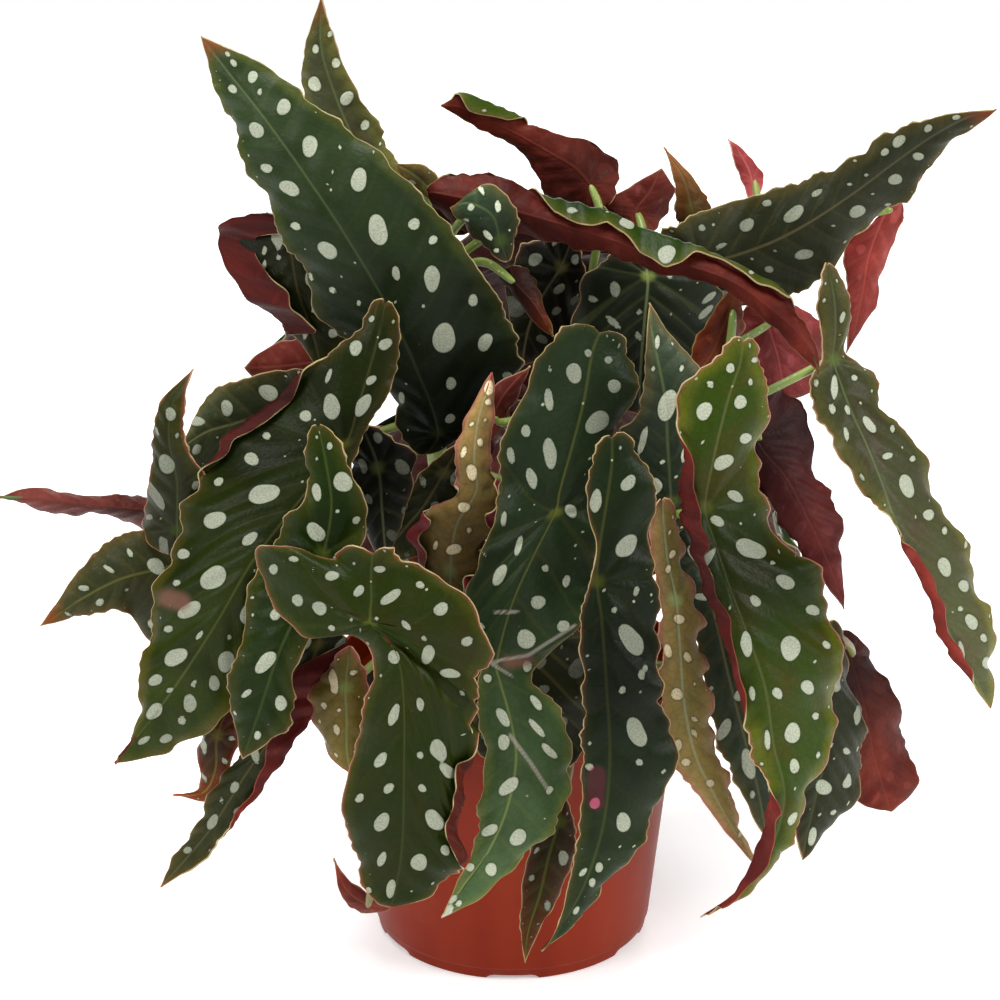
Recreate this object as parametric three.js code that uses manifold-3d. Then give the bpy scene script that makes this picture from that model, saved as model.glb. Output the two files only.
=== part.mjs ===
// A polka dot begonia in a plastic grower's pot, in millimetres, +Z up.
// The origin is on the pot's axis at its flat base, and the plant's front looks along -Y.
import * as THREE from "three";
import { mergeVertices } from "three/addons/utils/BufferGeometryUtils.js";
import Module from "manifold-3d";

const wasm = await Module();
wasm.setup();

// The pot: a tapered wall with a rim band, on a flat base with drain channels.
const POT = {
  height: 108, // whole height
  baseRadius: 52.4, // outside, at the foot
  wallSlope: 0.108, // outward for each millimetre up
  wall: 1.8,
  floor: 3,
  bandHeight: 14, // the stiff band under the rim
  bandStep: 2.6, // how far the band stands out of the wall
  bandLip: 1, // height of the slope under the band
  footStep: { height: 4, inset: 0.8 }, // the small step round the foot
  sides: 32,
};
// Channels let water out under the pot, and reach a little past its side.
const CHANNEL = { count: 6, width: 17.5, height: 1.7, length: 14, past: 3 };
const DRAIN = { radius: 4, ring: 34, count: 6, sides: 10 };
// The soil is level near the wall and heaped a little round the canes.
const SOIL_TOP = 93;
const SOIL_HEAP = { radius: 20, edge: 1.5, middle: 1 };
const SOIL_EDGE = { drop: 3, width: 6 }; // where it slopes down to the wall
const GAP = 0.35; // between pieces that touch

// Canes stand in holes in the soil. Each has a foot, a bend and a head, in millimetres.
const CANE_RADIUS = 3.8;
const CANE_SIDES = 8;
const CANE_STEPS = 10;
const CANE_DEPTH = 40; // how deep a cane stands in the soil
const CANE_COLLAR = 4; // how far it rises straight out of the soil
const HOLE_ROOM = 0.9; // round a cane in its hole
const HOLE_SIDES = 12;
const CANES = {
  cane_left: [[-28, -16], [-44, -22, 165], [-62, -28, 236]],
  cane_front: [[-2, -34], [-2, -46, 160], [10, -52, 226]],
  cane_right: [[28, -10], [48, -6, 170], [66, -2, 238]],
  cane_back_left: [[-18, 20], [-27, 22, 170], [-34, 12, 244]],
  cane_back_right: [[16, 18], [23, 22, 170], [32, 12, 246]],
};
const STALK_RADIUS = 1.6;
// From the middle of a stalk's end to its blade, whose back is hollow or, seen from below, crowned.
const STALK_GAP = { hollow: 0.9, crowned: 0.2 };
const STALK_SIDES = 5;
// How a stalk comes to its blade. low: joints less than this above the rim get theirs from above,
// leaning out by the share after it. off: how far one that comes along the blade leans off it.
const COMING = { low: 10, out: 0.3, off: 0.4 };

// Blades: a thin sheet between two waved edges, on both sides of a rib.
const BLADE = {
  thickness: 0.7,
  puff: 0.055, // how far each half arches, as a share of its width
  wave: 2.2, // rise and fall of the edge
  wavePitch: 34,
  waveWidth: 18, // a narrower half waves less
  tooth: 1.5, // in and out of the outline
  toothPitch: 15,
  toothWidth: 14, // a narrower half has lower teeth
  toothHold: 6, // how close to the edge the teeth stay, as a power
  sidePhase: 1.05, // between the waves of the two edges
  blunt: 1.5, // how far the first and the last row stay off the blade's ends
  rowPitch: 14, // length of one row of facets
  backRowPitch: 20,
  leastRows: 3, // below the joint
  halfColumns: 2,
};
const ROLL = { radius: 1.7, columns: 2, least: 0.5, ramp: 0.1 };
const TURN = 0.6; // how far a blade 100 mm off the middle turns to its side, as a slope
const FINE_STEPS = 24; // to measure along a blade, in steps for each row of its list
const RIB_STEP = 0.02; // in rows, to find which way the rib runs

// The picture's frame: places on it are given in pixels across and down, and a depth in millimetres,
// which is the place's distance behind the pot's axis. This turns them into real sizes.
const VIEW = { x: -4.7, z: 172.6, distance: 1250, tilt: 22 * (Math.PI / 180), focus: 3385, middle: 500 };
VIEW.eye = new THREE.Vector3(
  VIEW.x,
  -VIEW.distance * Math.cos(VIEW.tilt),
  VIEW.z + VIEW.distance * Math.sin(VIEW.tilt),
);
const MM_PER_PIXEL = VIEW.distance / VIEW.focus;

function placed(px, py, depth) {
  const across = (px - VIEW.middle) / VIEW.focus;
  const up = (VIEW.middle - py) / VIEW.focus;
  const ray = new THREE.Vector3(
    across,
    Math.cos(VIEW.tilt) + up * Math.sin(VIEW.tilt),
    -Math.sin(VIEW.tilt) + up * Math.cos(VIEW.tilt),
  );
  return ray.multiplyScalar((depth - VIEW.eye.y) / ray.y).add(VIEW.eye);
}

// Leaves as the picture shows them. Each row runs across a blade: left edge, rib, depth, right edge.
// The first row is the end of the blade's lobe and the last is its tip, with place and depth only.
// joint: the row where the stalk meets the blade. cup: how far the edges fall back for each
// millimetre from the rib. turn: how far the blade faces its side of the plant, if not by TURN.
// under: the wine-red side faces the front. roll: an edge turned over.
// toward: which way a stalk runs from its blade, where the picture shows it. drop: how far below
// its blade it leaves its cane, at least.
const LEAVES = {
  upper_left: {
    joint: 1, tone: "dark", cup: [0.3, 0.3],
    rows: [
      [425, 455, -34], [398, 425, 437, 433, -36, 478, 425], [386, 378, 420, 378, -42, 520, 370],
      [327, 323, 388, 308, -46, 503, 308], [297, 260, 345, 235, -45, 455, 235],
      [265, 200, 303, 172, -38, 395, 168], [237, 140, 262, 115, -28, 318, 106],
      [216, 85, 228, 72, -16, 262, 64], [200, 36, -8],
    ],
  },
  top_left_back: {
    joint: 1, tone: "olive", cup: [0.3, 0.3],
    rows: [
      [408, 268, 14], [372, 235, 400, 250, 14, 425, 235], [340, 170, 378, 190, 16, 408, 190],
      [312, 120, 345, 120, 20, 378, 125], [300, 85, 328, 75, 22, 350, 78],
      [306, 50, 320, 40, 24, 334, 38], [321, -5, 26],
    ],
  },
  left_long: {
    joint: 3, tone: "green", cup: [0.3, 0.6], turn: 0.42,
    roll: { side: 0, from: 0.1, to: 0.42, width: 4.5 },
    rows: [
      [385, 303, -64], [355, 335, 376, 345, -68, 400, 350], [300, 382, 360, 400, -72, 388, 390],
      [253, 425, 345, 445, -74, 362, 440], [205, 475, 301, 498, -80, 340, 500],
      [170, 555, 253, 560, -86, 300, 590], [150, 625, 215, 625, -88, 240, 655],
      [142, 685, 172, 690, -86, 232, 705], [133, 738, 140, 732, -84, 178, 748], [114, 764, -82],
    ],
  },
  left_inner: {
    joint: 3, tone: "green", cup: [0.15, 0.3],
    rows: [
      [318, 427, -86], [305, 458, 326, 465, -90, 350, 465], [308, 492, 331, 508, -93, 368, 525],
      [284, 522, 322, 555, -95, 351, 558], [254, 580, 300, 605, -99, 325, 612],
      [241, 635, 278, 655, -102, 294, 672], [230, 700, 260, 708, -101, 291, 722], [242, 760, -98],
    ],
  },
  front_left: {
    joint: 5, tone: "margin", cup: [0.2, 0.3], roll: { side: 1, from: 0.44, to: 0.88, width: 4 },
    rows: [
      [372, 553, -110], [328, 560, 371, 580, -111, 402, 560], [290, 546, 371, 600, -113, 443, 581],
      [258, 548, 370, 612, -114, 476, 612], [262, 582, 370, 618, -115, 488, 655],
      [300, 632, 370, 622, -116, 478, 682], [350, 634, 380, 634, -117, 474, 712],
      [373, 662, 397, 654, -119, 473, 745], [367, 702, 404, 700, -121, 458, 780],
      [346, 782, 404, 775, -124, 453, 822], [351, 848, 402, 845, -124, 460, 860],
      [371, 895, 395, 890, -122, 434, 893], [390, 908, -121],
    ],
  },
  crumpled_gold: {
    joint: 1, tone: "gold", cup: [0.5, 0.5],
    rows: [
      [350, 646, -96], [317, 683, 345, 688, -98, 368, 684], [315, 718, 346, 722, -99, 368, 724],
      [322, 745, 346, 750, -99, 364, 750], [350, 775, -98],
    ],
  },
  lower_left_long: {
    joint: 1, tone: "dark", cup: [0.25, 0.3], roll: { side: 1, from: 0.08, to: 0.97, width: 13 },
    rows: [
      [322, 612, -80], [292, 645, 318, 645, -81, 343, 640], [270, 690, 296, 690, -82, 325, 688],
      [247, 742, 272, 736, -83, 298, 732], [222, 775, 245, 775, -83, 265, 778],
      [199, 820, 214, 824, -82, 227, 826], [177, 854, 188, 856, -80, 198, 860], [159, 888, -78],
    ],
  },
  left_brown: {
    joint: 1, tone: "brown", cup: [0.4, 0.4],
    rows: [
      [237, 690, -68], [200, 735, 217, 735, -70, 239, 735], [202, 770, 215, 768, -70, 228, 772],
      [196, 790, 203, 792, -68, 211, 800], [172, 795, -64],
    ],
  },
  left_point: {
    joint: 1, tone: "grey", cup: [0.35, 0.35],
    rows: [
      [212, 558, -34], [195, 615, 192, 562, -38, 188, 524], [150, 640, 155, 570, -42, 150, 529],
      [124, 610, 118, 580, -44, 110, 539], [82, 616, 80, 600, -44, 77, 575], [39, 627, -42],
    ],
  },
  far_left: {
    joint: 1, tone: "dark", under: true, cup: [2.4, 1.4],
    rows: [
      [168, 512, -14], [150, 525, 150, 511, -18, 150, 498], [95, 515, 95, 506, -22, 95, 496],
      [40, 508, 40, 499, -24, 38, 489], [-3, 497, -24],
    ],
  },
  left_upright: {
    joint: 1, tone: "olive", cup: [0.3, 0.5],
    rows: [
      [178, 556, -50], [140, 528, 176, 530, -52, 215, 530], [152, 485, 176, 482, -54, 207, 480],
      [151, 440, 168, 438, -54, 186, 441], [163, 402, 173, 400, -52, 185, 402], [193, 368, -50],
    ],
  },
  left_back_dark: {
    joint: 1, tone: "dark", cup: [0.3, 0.3],
    rows: [
      [335, 402, -20], [318, 440, 318, 406, -22, 318, 372], [272, 460, 273, 412, -24, 275, 371],
      [230, 480, 232, 424, -26, 235, 381], [204, 475, 206, 432, -27, 206, 397], [181, 448, -27],
    ],
  },
  left_back_red: {
    joint: 1, tone: "dark", under: true, cup: [0.4, 0.4],
    rows: [
      [350, 364, 6], [325, 392, 325, 362, 4, 325, 332], [286, 392, 288, 366, 2, 290, 340],
      [258, 382, 262, 368, 2, 262, 350], [244, 368, 0],
    ],
  },
  left_burgundy: {
    joint: 1, tone: "dark", cup: [0.3, 0.3], roll: { side: 0, from: 0.04, to: 0.85, width: 19 },
    rows: [
      [300, 218, -12], [238, 222, 290, 240, -14, 335, 236], [222, 243, 292, 262, -16, 345, 270],
      [250, 284, 298, 292, -18, 350, 303], [282, 318, 310, 326, -20, 350, 335], [322, 372, -22],
    ],
  },
  top_olive: {
    joint: 1, tone: "olive", cup: [0.3, 0.3],
    rows: [
      [433, 200, 6], [421, 194, 428, 187, 4, 439, 181], [404, 180, 412, 173, 2, 424, 165],
      [396, 164, 0],
    ],
  },
  top_long_red: {
    joint: 2, tone: "green", under: true, cup: [0.6, 0.9],
    roll: { side: 1, from: 0.3, to: 0.8, width: 5.5 },
    rows: [
      [427, 192, -22], [452, 222, 450, 196, -24, 456, 174], [505, 236, 502, 208, -26, 502, 180],
      [555, 241, 553, 222, -28, 552, 204], [612, 257, 612, 240, -30, 612, 222],
      [670, 274, 668, 260, -34, 668, 245], [730, 292, 728, 280, -40, 730, 268],
      [770, 325, 777, 314, -46, 783, 303], [797, 352, 807, 344, -50, 812, 335], [820, 374, -52],
    ],
  },
  top_red: {
    joint: 1, tone: "green", under: true, cup: [0.4, 0.5],
    roll: { side: 1, from: 0.6, to: 0.98, width: 3.5 },
    rows: [
      [606, 205, 8], [562, 203, 590, 185, 10, 617, 172], [545, 190, 575, 168, 12, 602, 146],
      [530, 162, 548, 152, 14, 562, 137], [508, 143, 518, 135, 16, 528, 125],
      [480, 128, 488, 120, 18, 494, 111], [458, 116, 461, 108, 18, 462, 99], [440, 106, 18],
    ],
  },
  upper_right: {
    joint: 1, tone: "dark", cup: [0.35, 0.3],
    rows: [
      [655, 246, -2], [712, 300, 700, 262, -4, 690, 217], [760, 300, 752, 250, -6, 745, 198],
      [802, 292, 800, 228, -10, 797, 182], [852, 242, 850, 196, -12, 846, 162],
      [905, 195, 896, 162, -13, 888, 133], [942, 153, 935, 135, -13, 928, 118],
      [974, 126, 968, 118, -12, 965, 112], [998, 110, -12],
    ],
  },
  back_dark_left: {
    joint: 1, tone: "night", cup: [0.3, 0.3],
    rows: [
      [572, 240, 0], [540, 238, 560, 268, -2, 585, 272], [512, 262, 540, 300, -4, 578, 325],
      [508, 320, 528, 330, -5, 560, 352], [522, 366, -5],
    ],
  },
  back_dark_right: {
    joint: 1, tone: "night", cup: [0.25, 0.3],
    rows: [
      [640, 248, -14], [592, 268, 648, 276, -16, 700, 270], [574, 320, 645, 318, -18, 722, 302],
      [582, 365, 642, 352, -19, 708, 342], [602, 398, 640, 388, -20, 676, 382], [640, 415, -20],
    ],
  },
  small_curled: {
    joint: 1, tone: "grey", cup: [0.4, 0.4],
    rows: [
      [508, 262, -40], [487, 248, 500, 240, -41, 516, 235], [470, 232, 492, 215, -42, 514, 206],
      [458, 220, 469, 203, -42, 487, 184], [450, 208, -41],
    ],
  },
  maroon_curl: {
    joint: 1, tone: "dark", under: true, cup: [0.7, 0.7],
    rows: [
      [510, 266, -36], [500, 280, 514, 282, -37, 531, 273], [520, 303, 532, 302, -38, 542, 302],
      [538, 325, 545, 322, -38, 551, 322], [554, 338, -37],
    ],
  },
  top_red_middle: {
    joint: 1, tone: "dark", under: true, cup: [0.4, 0.4],
    rows: [
      [640, 236, 22], [604, 206, 636, 212, 22, 666, 216], [628, 188, 650, 192, 24, 674, 192],
      [662, 168, 26],
    ],
  },
  top_gold_point: {
    joint: 1, tone: "gold", cup: [0.3, 0.3],
    rows: [
      [698, 226, 34], [677, 218, 692, 206, 34, 713, 208], [674, 180, 684, 178, 36, 697, 186],
      [664, 146, 38],
    ],
  },
  top_pink: {
    joint: 1, tone: "dark", under: true, cup: [0.5, 0.5],
    rows: [
      [753, 204, 40], [742, 182, 752, 180, 42, 763, 178], [733, 158, 743, 158, 44, 756, 162],
      [728, 138, 46],
    ],
  },
  right_red_hanging: {
    joint: 1, tone: "dark", under: true, cup: [0.4, 0.4],
    rows: [
      [922, 176, 6], [872, 222, 890, 206, 4, 904, 204], [846, 248, 870, 252, 2, 891, 246],
      [846, 288, 863, 290, 0, 878, 296], [848, 324, 856, 324, -1, 864, 322], [847, 354, -2],
    ],
  },
  right_drooping: {
    joint: 3, tone: "olive", cup: [0.35, 0.3], roll: { side: 0, from: 0.62, to: 0.98, width: 3.2 },
    toward: [-0.5, 0.1, -0.86], drop: 60,
    rows: [
      [828, 265, -24], [819, 300, 835, 302, -26, 848, 300], [822, 332, 836, 332, -27, 849, 330],
      [822, 360, 834, 360, -28, 846, 355], [811, 384, 842, 386, -31, 869, 372],
      [822, 420, 852, 412, -36, 882, 400], [842, 458, 868, 447, -42, 912, 442],
      [869, 498, 882, 482, -46, 932, 486], [893, 522, 900, 532, -50, 956, 530],
      [917, 572, 926, 588, -53, 976, 578], [942, 636, 956, 645, -54, 991, 630],
      [966, 676, 978, 684, -54, 994, 676], [992, 709, -53],
    ],
  },
  right_dark_red: {
    joint: 1, tone: "dark", under: true, cup: [0.4, 0.4],
    rows: [
      [766, 392, 2], [742, 446, 757, 440, 0, 799, 404], [760, 486, 786, 478, -3, 815, 464],
      [782, 526, 806, 516, -6, 834, 504], [810, 564, 825, 556, -8, 841, 548], [845, 610, -8],
    ],
  },
  right_centre: {
    joint: 5, tone: "yellow", cup: [0.3, 0.35], roll: { side: 0, from: 0.12, to: 0.66, width: 4.5 },
    toward: [0.1, 1, -0.5], drop: 45,
    rows: [
      [744, 341, -80], [718, 357, 740, 366, -82, 761, 362], [684, 385, 730, 395, -85, 763, 386],
      [679, 416, 722, 425, -88, 767, 420], [687, 452, 714, 460, -90, 760, 455],
      [684, 503, 706, 508, -92, 760, 496], [691, 538, 717, 548, -95, 785, 543],
      [703, 577, 731, 590, -98, 815, 568], [727, 640, 750, 640, -101, 834, 625],
      [745, 698, 766, 690, -103, 840, 672], [753, 757, 774, 745, -104, 830, 738],
      [771, 788, 785, 796, -104, 808, 798], [762, 845, 771, 850, -102, 785, 850],
      [734, 894, 742, 889, -99, 751, 890], [702, 918, -96],
    ],
  },
  front_centre: {
    joint: 4, tone: "teal", cup: [0.3, 0.3],
    rows: [
      [612, 437, -102], [592, 458, 612, 465, -104, 641, 458], [587, 508, 606, 508, -107, 655, 500],
      [596, 545, 600, 546, -109, 651, 540], [590, 580, 597, 582, -111, 653, 576],
      [580, 622, 602, 620, -114, 660, 630], [583, 686, 607, 690, -118, 658, 690],
      [582, 756, 610, 758, -120, 675, 746], [580, 820, 604, 822, -121, 655, 815],
      [569, 882, 586, 882, -120, 620, 868], [556, 930, 562, 926, -118, 579, 917],
      [541, 952, -117],
    ],
  },
  centre: {
    joint: 5, tone: "teal", cup: [0.3, 0.3],
    rows: [
      [600, 332, -70], [550, 341, 592, 354, -73, 632, 362], [521, 400, 584, 400, -77, 632, 404],
      [501, 445, 572, 447, -80, 612, 436], [497, 502, 560, 490, -83, 598, 480],
      [487, 548, 555, 512, -85, 596, 512], [464, 591, 535, 552, -88, 597, 548],
      [468, 632, 512, 603, -91, 596, 590], [480, 664, 497, 660, -94, 577, 626],
      [478, 682, 500, 682, -97, 532, 674], [479, 716, 508, 710, -101, 557, 706],
      [485, 760, 516, 755, -105, 571, 755], [480, 806, 508, 805, -107, 566, 800],
      [473, 850, 489, 850, -108, 534, 848], [455, 887, 461, 890, -108, 490, 889], [441, 919, -107],
    ],
  },
  lower_brown: {
    joint: 1, tone: "brown", cup: [0.35, 0.35],
    rows: [
      [562, 795, -80], [546, 824, 559, 822, -82, 574, 822], [527, 858, 549, 856, -84, 573, 855],
      [522, 897, 540, 894, -86, 562, 891], [521, 936, 528, 932, -87, 540, 926], [525, 964, -87],
    ],
  },
  gold_right: {
    joint: 3, tone: "gold", cup: [0.5, 0.5],
    rows: [
      [662, 500, -76], [650, 525, 664, 526, -78, 678, 530], [652, 560, 668, 562, -80, 685, 565],
      [658, 596, 676, 600, -82, 695, 600], [661, 650, 680, 650, -85, 703, 650],
      [659, 702, 684, 702, -88, 709, 700], [671, 757, 695, 754, -90, 718, 752],
      [700, 798, 715, 796, -91, 731, 795], [731, 838, 738, 836, -91, 746, 842], [760, 871, -90],
    ],
  },
  dark_right_inner: {
    joint: 1, tone: "teal", cup: [0.3, 0.35],
    rows: [
      [686, 508, -48], [668, 556, 700, 560, -54, 735, 560], [690, 620, 716, 620, -61, 762, 622],
      [703, 680, 730, 680, -64, 776, 690], [717, 742, 745, 738, -66, 786, 745],
      [740, 790, 758, 787, -67, 785, 795], [757, 825, 765, 824, -67, 776, 825], [768, 840, -66],
    ],
  },
  right_lower_dark: {
    joint: 1, tone: "grey", cup: [0.35, 0.35],
    rows: [
      [835, 620, -44], [800, 650, 822, 655, -46, 847, 665], [795, 705, 825, 706, -49, 859, 712],
      [790, 760, 825, 757, -51, 864, 757], [790, 806, 815, 803, -52, 851, 801],
      [797, 842, 807, 838, -52, 824, 836], [803, 861, -51],
    ],
  },
  right_lower_red: {
    joint: 1, tone: "dark", under: true, cup: [0.35, 0.35],
    rows: [
      [845, 630, -14], [830, 662, 850, 655, -16, 872, 656], [834, 710, 864, 706, -18, 893, 697],
      [842, 762, 874, 756, -20, 909, 748], [860, 802, 886, 796, -21, 912, 790], [892, 812, -21],
    ],
  },
  gold_centre: {
    joint: 1, tone: "gold", cup: [0.5, 0.5],
    rows: [
      [452, 604, -62], [423, 566, 450, 570, -63, 478, 580], [424, 520, 456, 526, -65, 490, 542],
      [454, 494, 476, 490, -67, 500, 504], [457, 460, 474, 456, -67, 490, 462],
      [464, 424, 478, 420, -66, 491, 425], [481, 390, 487, 389, -65, 494, 392], [492, 372, -64],
    ],
  },
  pink_centre: {
    joint: 1, tone: "dark", under: true, cup: [0.5, 0.5],
    rows: [
      [492, 440, -57], [482, 412, 495, 414, -57, 506, 414], [495, 386, 506, 393, -58, 519, 393],
      [531, 366, -58],
    ],
  },
  inner_centre: {
    joint: 1, tone: "night", cup: [0.2, 0.2],
    rows: [
      [535, 598, -74], [498, 640, 535, 640, -75, 582, 640], [476, 700, 525, 700, -76, 588, 700],
      [478, 748, 524, 748, -76, 584, 750], [520, 786, -76],
    ],
  },
  dark_centre_left: {
    joint: 1, tone: "dark", cup: [0.3, 0.3],
    rows: [
      [460, 444, -50], [424, 470, 444, 472, -51, 464, 482], [399, 500, 424, 505, -52, 450, 522],
      [381, 535, 399, 535, -52, 424, 553], [380, 562, -51],
    ],
  },
  inner_left_dark: {
    joint: 1, tone: "night", cup: [0.3, 0.3],
    rows: [
      [362, 425, -54], [348, 470, 378, 468, -55, 412, 452], [356, 520, 382, 512, -56, 408, 502],
      [386, 565, -56],
    ],
  },
  pointed_centre: {
    joint: 1, tone: "grey", cup: [0.3, 0.3],
    rows: [
      [674, 534, -60], [646, 500, 672, 502, -61, 700, 496], [622, 440, 668, 444, -62, 704, 432],
      [640, 405, 666, 402, -62, 703, 386], [645, 364, 658, 360, -61, 690, 358],
      [647, 328, 652, 330, -60, 665, 327], [650, 302, -59],
    ],
  },
  back_pink_right: {
    joint: 1, tone: "dark", under: true, cup: [0.3, 0.3], toward: [-0.15, -0.2, -1], drop: 30,
    rows: [
      [772, 297, 22], [738, 318, 768, 322, 20, 822, 326], [736, 356, 778, 358, 18, 828, 356],
      [756, 386, 782, 386, 17, 814, 386], [775, 405, 16],
    ],
  },
  back_maroon_right: {
    joint: 1, tone: "dark", under: true, cup: [0.4, 0.4], toward: [0.05, -0.2, -1], drop: 30,
    rows: [
      [735, 286, -34], [716, 308, 731, 307, -35, 742, 310], [690, 352, 712, 353, -36, 738, 352],
      [694, 374, -36],
    ],
  },
  low_left_curl: {
    joint: 1, tone: "dark", under: true, cup: [0.5, 0.5],
    rows: [
      [392, 908, -84], [360, 913, 368, 904, -86, 374, 896], [343, 897, 346, 889, -87, 350, 881],
      [333, 858, -86],
    ],
  },
};

// Leaves at the back and the sides, which the picture doesn't show. Each hangs from a joint at a
// bearing in degrees from the front, clockwise seen from above, and arches out and down.
const BACK_LEAVES = {
  back_leaf_a: { bearing: 116, out: 58, height: 222, length: 150, width: 60, droop: 1.1 },
  back_leaf_b: { bearing: 138, out: 54, height: 262, length: 165, width: 62, droop: 0.95 },
  back_leaf_c: { bearing: 157, out: 64, height: 196, length: 155, width: 60, droop: 1.2 },
  back_leaf_d: { bearing: 178, out: 44, height: 250, length: 172, width: 64, droop: 1.0 },
  back_leaf_e: { bearing: 201, out: 64, height: 200, length: 160, width: 60, droop: 1.2 },
  back_leaf_f: { bearing: 221, out: 54, height: 256, length: 165, width: 62, droop: 0.95 },
  back_leaf_g: { bearing: 243, out: 58, height: 210, length: 150, width: 60, droop: 1.1 },
  back_leaf_h: { bearing: 278, out: 78, height: 182, length: 99, width: 48, droop: 1.8 },
};
// Lengths are shares of the blade's length, and widths shares of its width.
const BACK_SHAPE = {
  lobe: 0.16, // above the joint
  lobeMiddle: 0.072,
  lobeWidth: 0.72,
  rows: [[0.05, 0.62], [0.2, 0.98], [0.42, 1], [0.64, 0.74], [0.84, 0.38]],
  cupDown: 0.256, // how far the edges fall for each millimetre from the rib
  cupBack: 0.192, // how far they turn back towards the plant
  outRun: 0.62, // how far the rib runs outwards, before its droop
  fall: { start: 0.25, more: 0.55, lobe: 1.1 }, // the rib's slope at the joint and after it
  joint: 2,
  lift: 0.6, // how far the blade looks up
};

const TONES = {
  dark: 0x24412c, green: 0x355223, margin: 0x3c5a24, olive: 0x45451f, teal: 0x2a4638,
  grey: 0x33483a, yellow: 0x5a7326, gold: 0x8a7434, brown: 0x4a2c1c, night: 0x16241c,
};
const UNDERSIDE = 0x7a2530;
const POT_COLOUR = 0xa8402a;
const SOIL_COLOUR = 0x2e2019;
const STEM_COLOUR = 0x6f9a3a;

const closedGeometry = (geometry) => {
  geometry.deleteAttribute("normal");
  geometry.deleteAttribute("uv");
  return mergeVertices(geometry, 1e-3);
};

function solid(geometry) {
  const merged = closedGeometry(geometry);
  return new wasm.Manifold(
    new wasm.Mesh({
      numProp: 3,
      vertProperties: merged.getAttribute("position").array,
      triVerts: new Uint32Array(merged.index.array),
    }),
  );
}

function geometryOf(manifold) {
  const mesh = manifold.getMesh();
  return new THREE.BufferGeometry()
    .setAttribute("position", new THREE.BufferAttribute(mesh.vertProperties, 3))
    .setIndex(new THREE.BufferAttribute(mesh.triVerts, 1));
}

const part = new THREE.Group();

function addPiece(name, geometry, color, roughness) {
  const mesh = new THREE.Mesh(
    geometry,
    new THREE.MeshStandardMaterial({ color, roughness, metalness: 0 }),
  );
  mesh.name = name;
  part.add(mesh);
}

// A point on a smooth curve through points a, b, c and d, between b and c.
function between(a, b, c, d, t) {
  const point = b.clone().multiplyScalar(2);
  point.addScaledVector(c, t).addScaledVector(a, -t);
  const square = t * t;
  point.addScaledVector(a, 2 * square).addScaledVector(b, -5 * square);
  point.addScaledVector(c, 4 * square).addScaledVector(d, -square);
  const cube = square * t;
  point.addScaledVector(a, -cube).addScaledVector(b, 3 * cube);
  point.addScaledVector(c, -3 * cube).addScaledVector(d, cube);
  return point.multiplyScalar(0.5);
}

// The left edge, the rib and the right edge of a leaf, as lists of places in millimetres.
function leafLines({ rows, cup, turn = TURN }) {
  const lines = [[], [], []];
  for (const row of rows) {
    if (row.length === 3) {
      for (const line of lines) line.push(placed(...row));
      continue;
    }
    const [leftX, leftY, ribX, ribY, depth, rightX, rightY] = row;
    const rib = placed(ribX, ribY, depth);
    const slope = (turn * rib.x) / 100;
    const fall = (x, y, share) => {
      return MM_PER_PIXEL * (share * Math.hypot(x - ribX, y - ribY) + slope * (x - ribX));
    };
    lines[0].push(placed(leftX, leftY, depth + fall(leftX, leftY, cup[0])));
    lines[1].push(rib);
    lines[2].push(placed(rightX, rightY, depth + fall(rightX, rightY, cup[1])));
  }
  return lines;
}

// A hidden leaf's three lines: its rib starts above the joint, bows outwards and falls to the tip.
function backLines({ bearing, out, height, length, width, droop }) {
  const turn = bearing * (Math.PI / 180);
  const outward = new THREE.Vector3(-Math.sin(turn), -Math.cos(turn), 0);
  const across = new THREE.Vector3(-outward.y, outward.x, 0);
  const rib = (share) => {
    const along = share * length;
    const { start, more, lobe } = BACK_SHAPE.fall;
    const fall = droop * (share > 0 ? share * share * more + share * start : share * lobe);
    return new THREE.Vector3(0, 0, height - fall * length)
      .addScaledVector(outward, out + (along * BACK_SHAPE.outRun) / droop);
  };
  const lines = [[], [], []];
  const push = (share, half) => {
    const middle = rib(share);
    lines.forEach((line, side) => {
      const offset = (side - 1) * half;
      const edge = middle.clone().addScaledVector(across, offset);
      edge.z -= BACK_SHAPE.cupDown * Math.abs(offset);
      edge.addScaledVector(outward, -BACK_SHAPE.cupBack * Math.abs(offset));
      line.push(edge);
    });
  };
  push(-BACK_SHAPE.lobe, 0);
  push(-BACK_SHAPE.lobeMiddle, (BACK_SHAPE.lobeWidth * width) / 2);
  for (const [share, half] of BACK_SHAPE.rows) push(share, (half * width) / 2);
  push(1, 0);
  return lines;
}

// The curve through a line's points at place u, counted in rows. The lobe's end is round, because
// its two edges run into each other there, and the tip is pointed.
function onLine(lines, side, u) {
  const line = lines[side];
  const last = line.length - 1;
  const i = Math.min(Math.floor(u), last - 1);
  const before = side === 1
    ? line[0].clone().multiplyScalar(2).sub(line[1])
    : lines[2 - side][1];
  const after = line[last].clone().multiplyScalar(2).sub(line[last - 1]);
  const a = i === 0 ? before : line[i - 1];
  const d = i === last - 1 ? after : line[i + 2];
  return between(a, line[i], line[i + 1], d, u - i);
}

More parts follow.
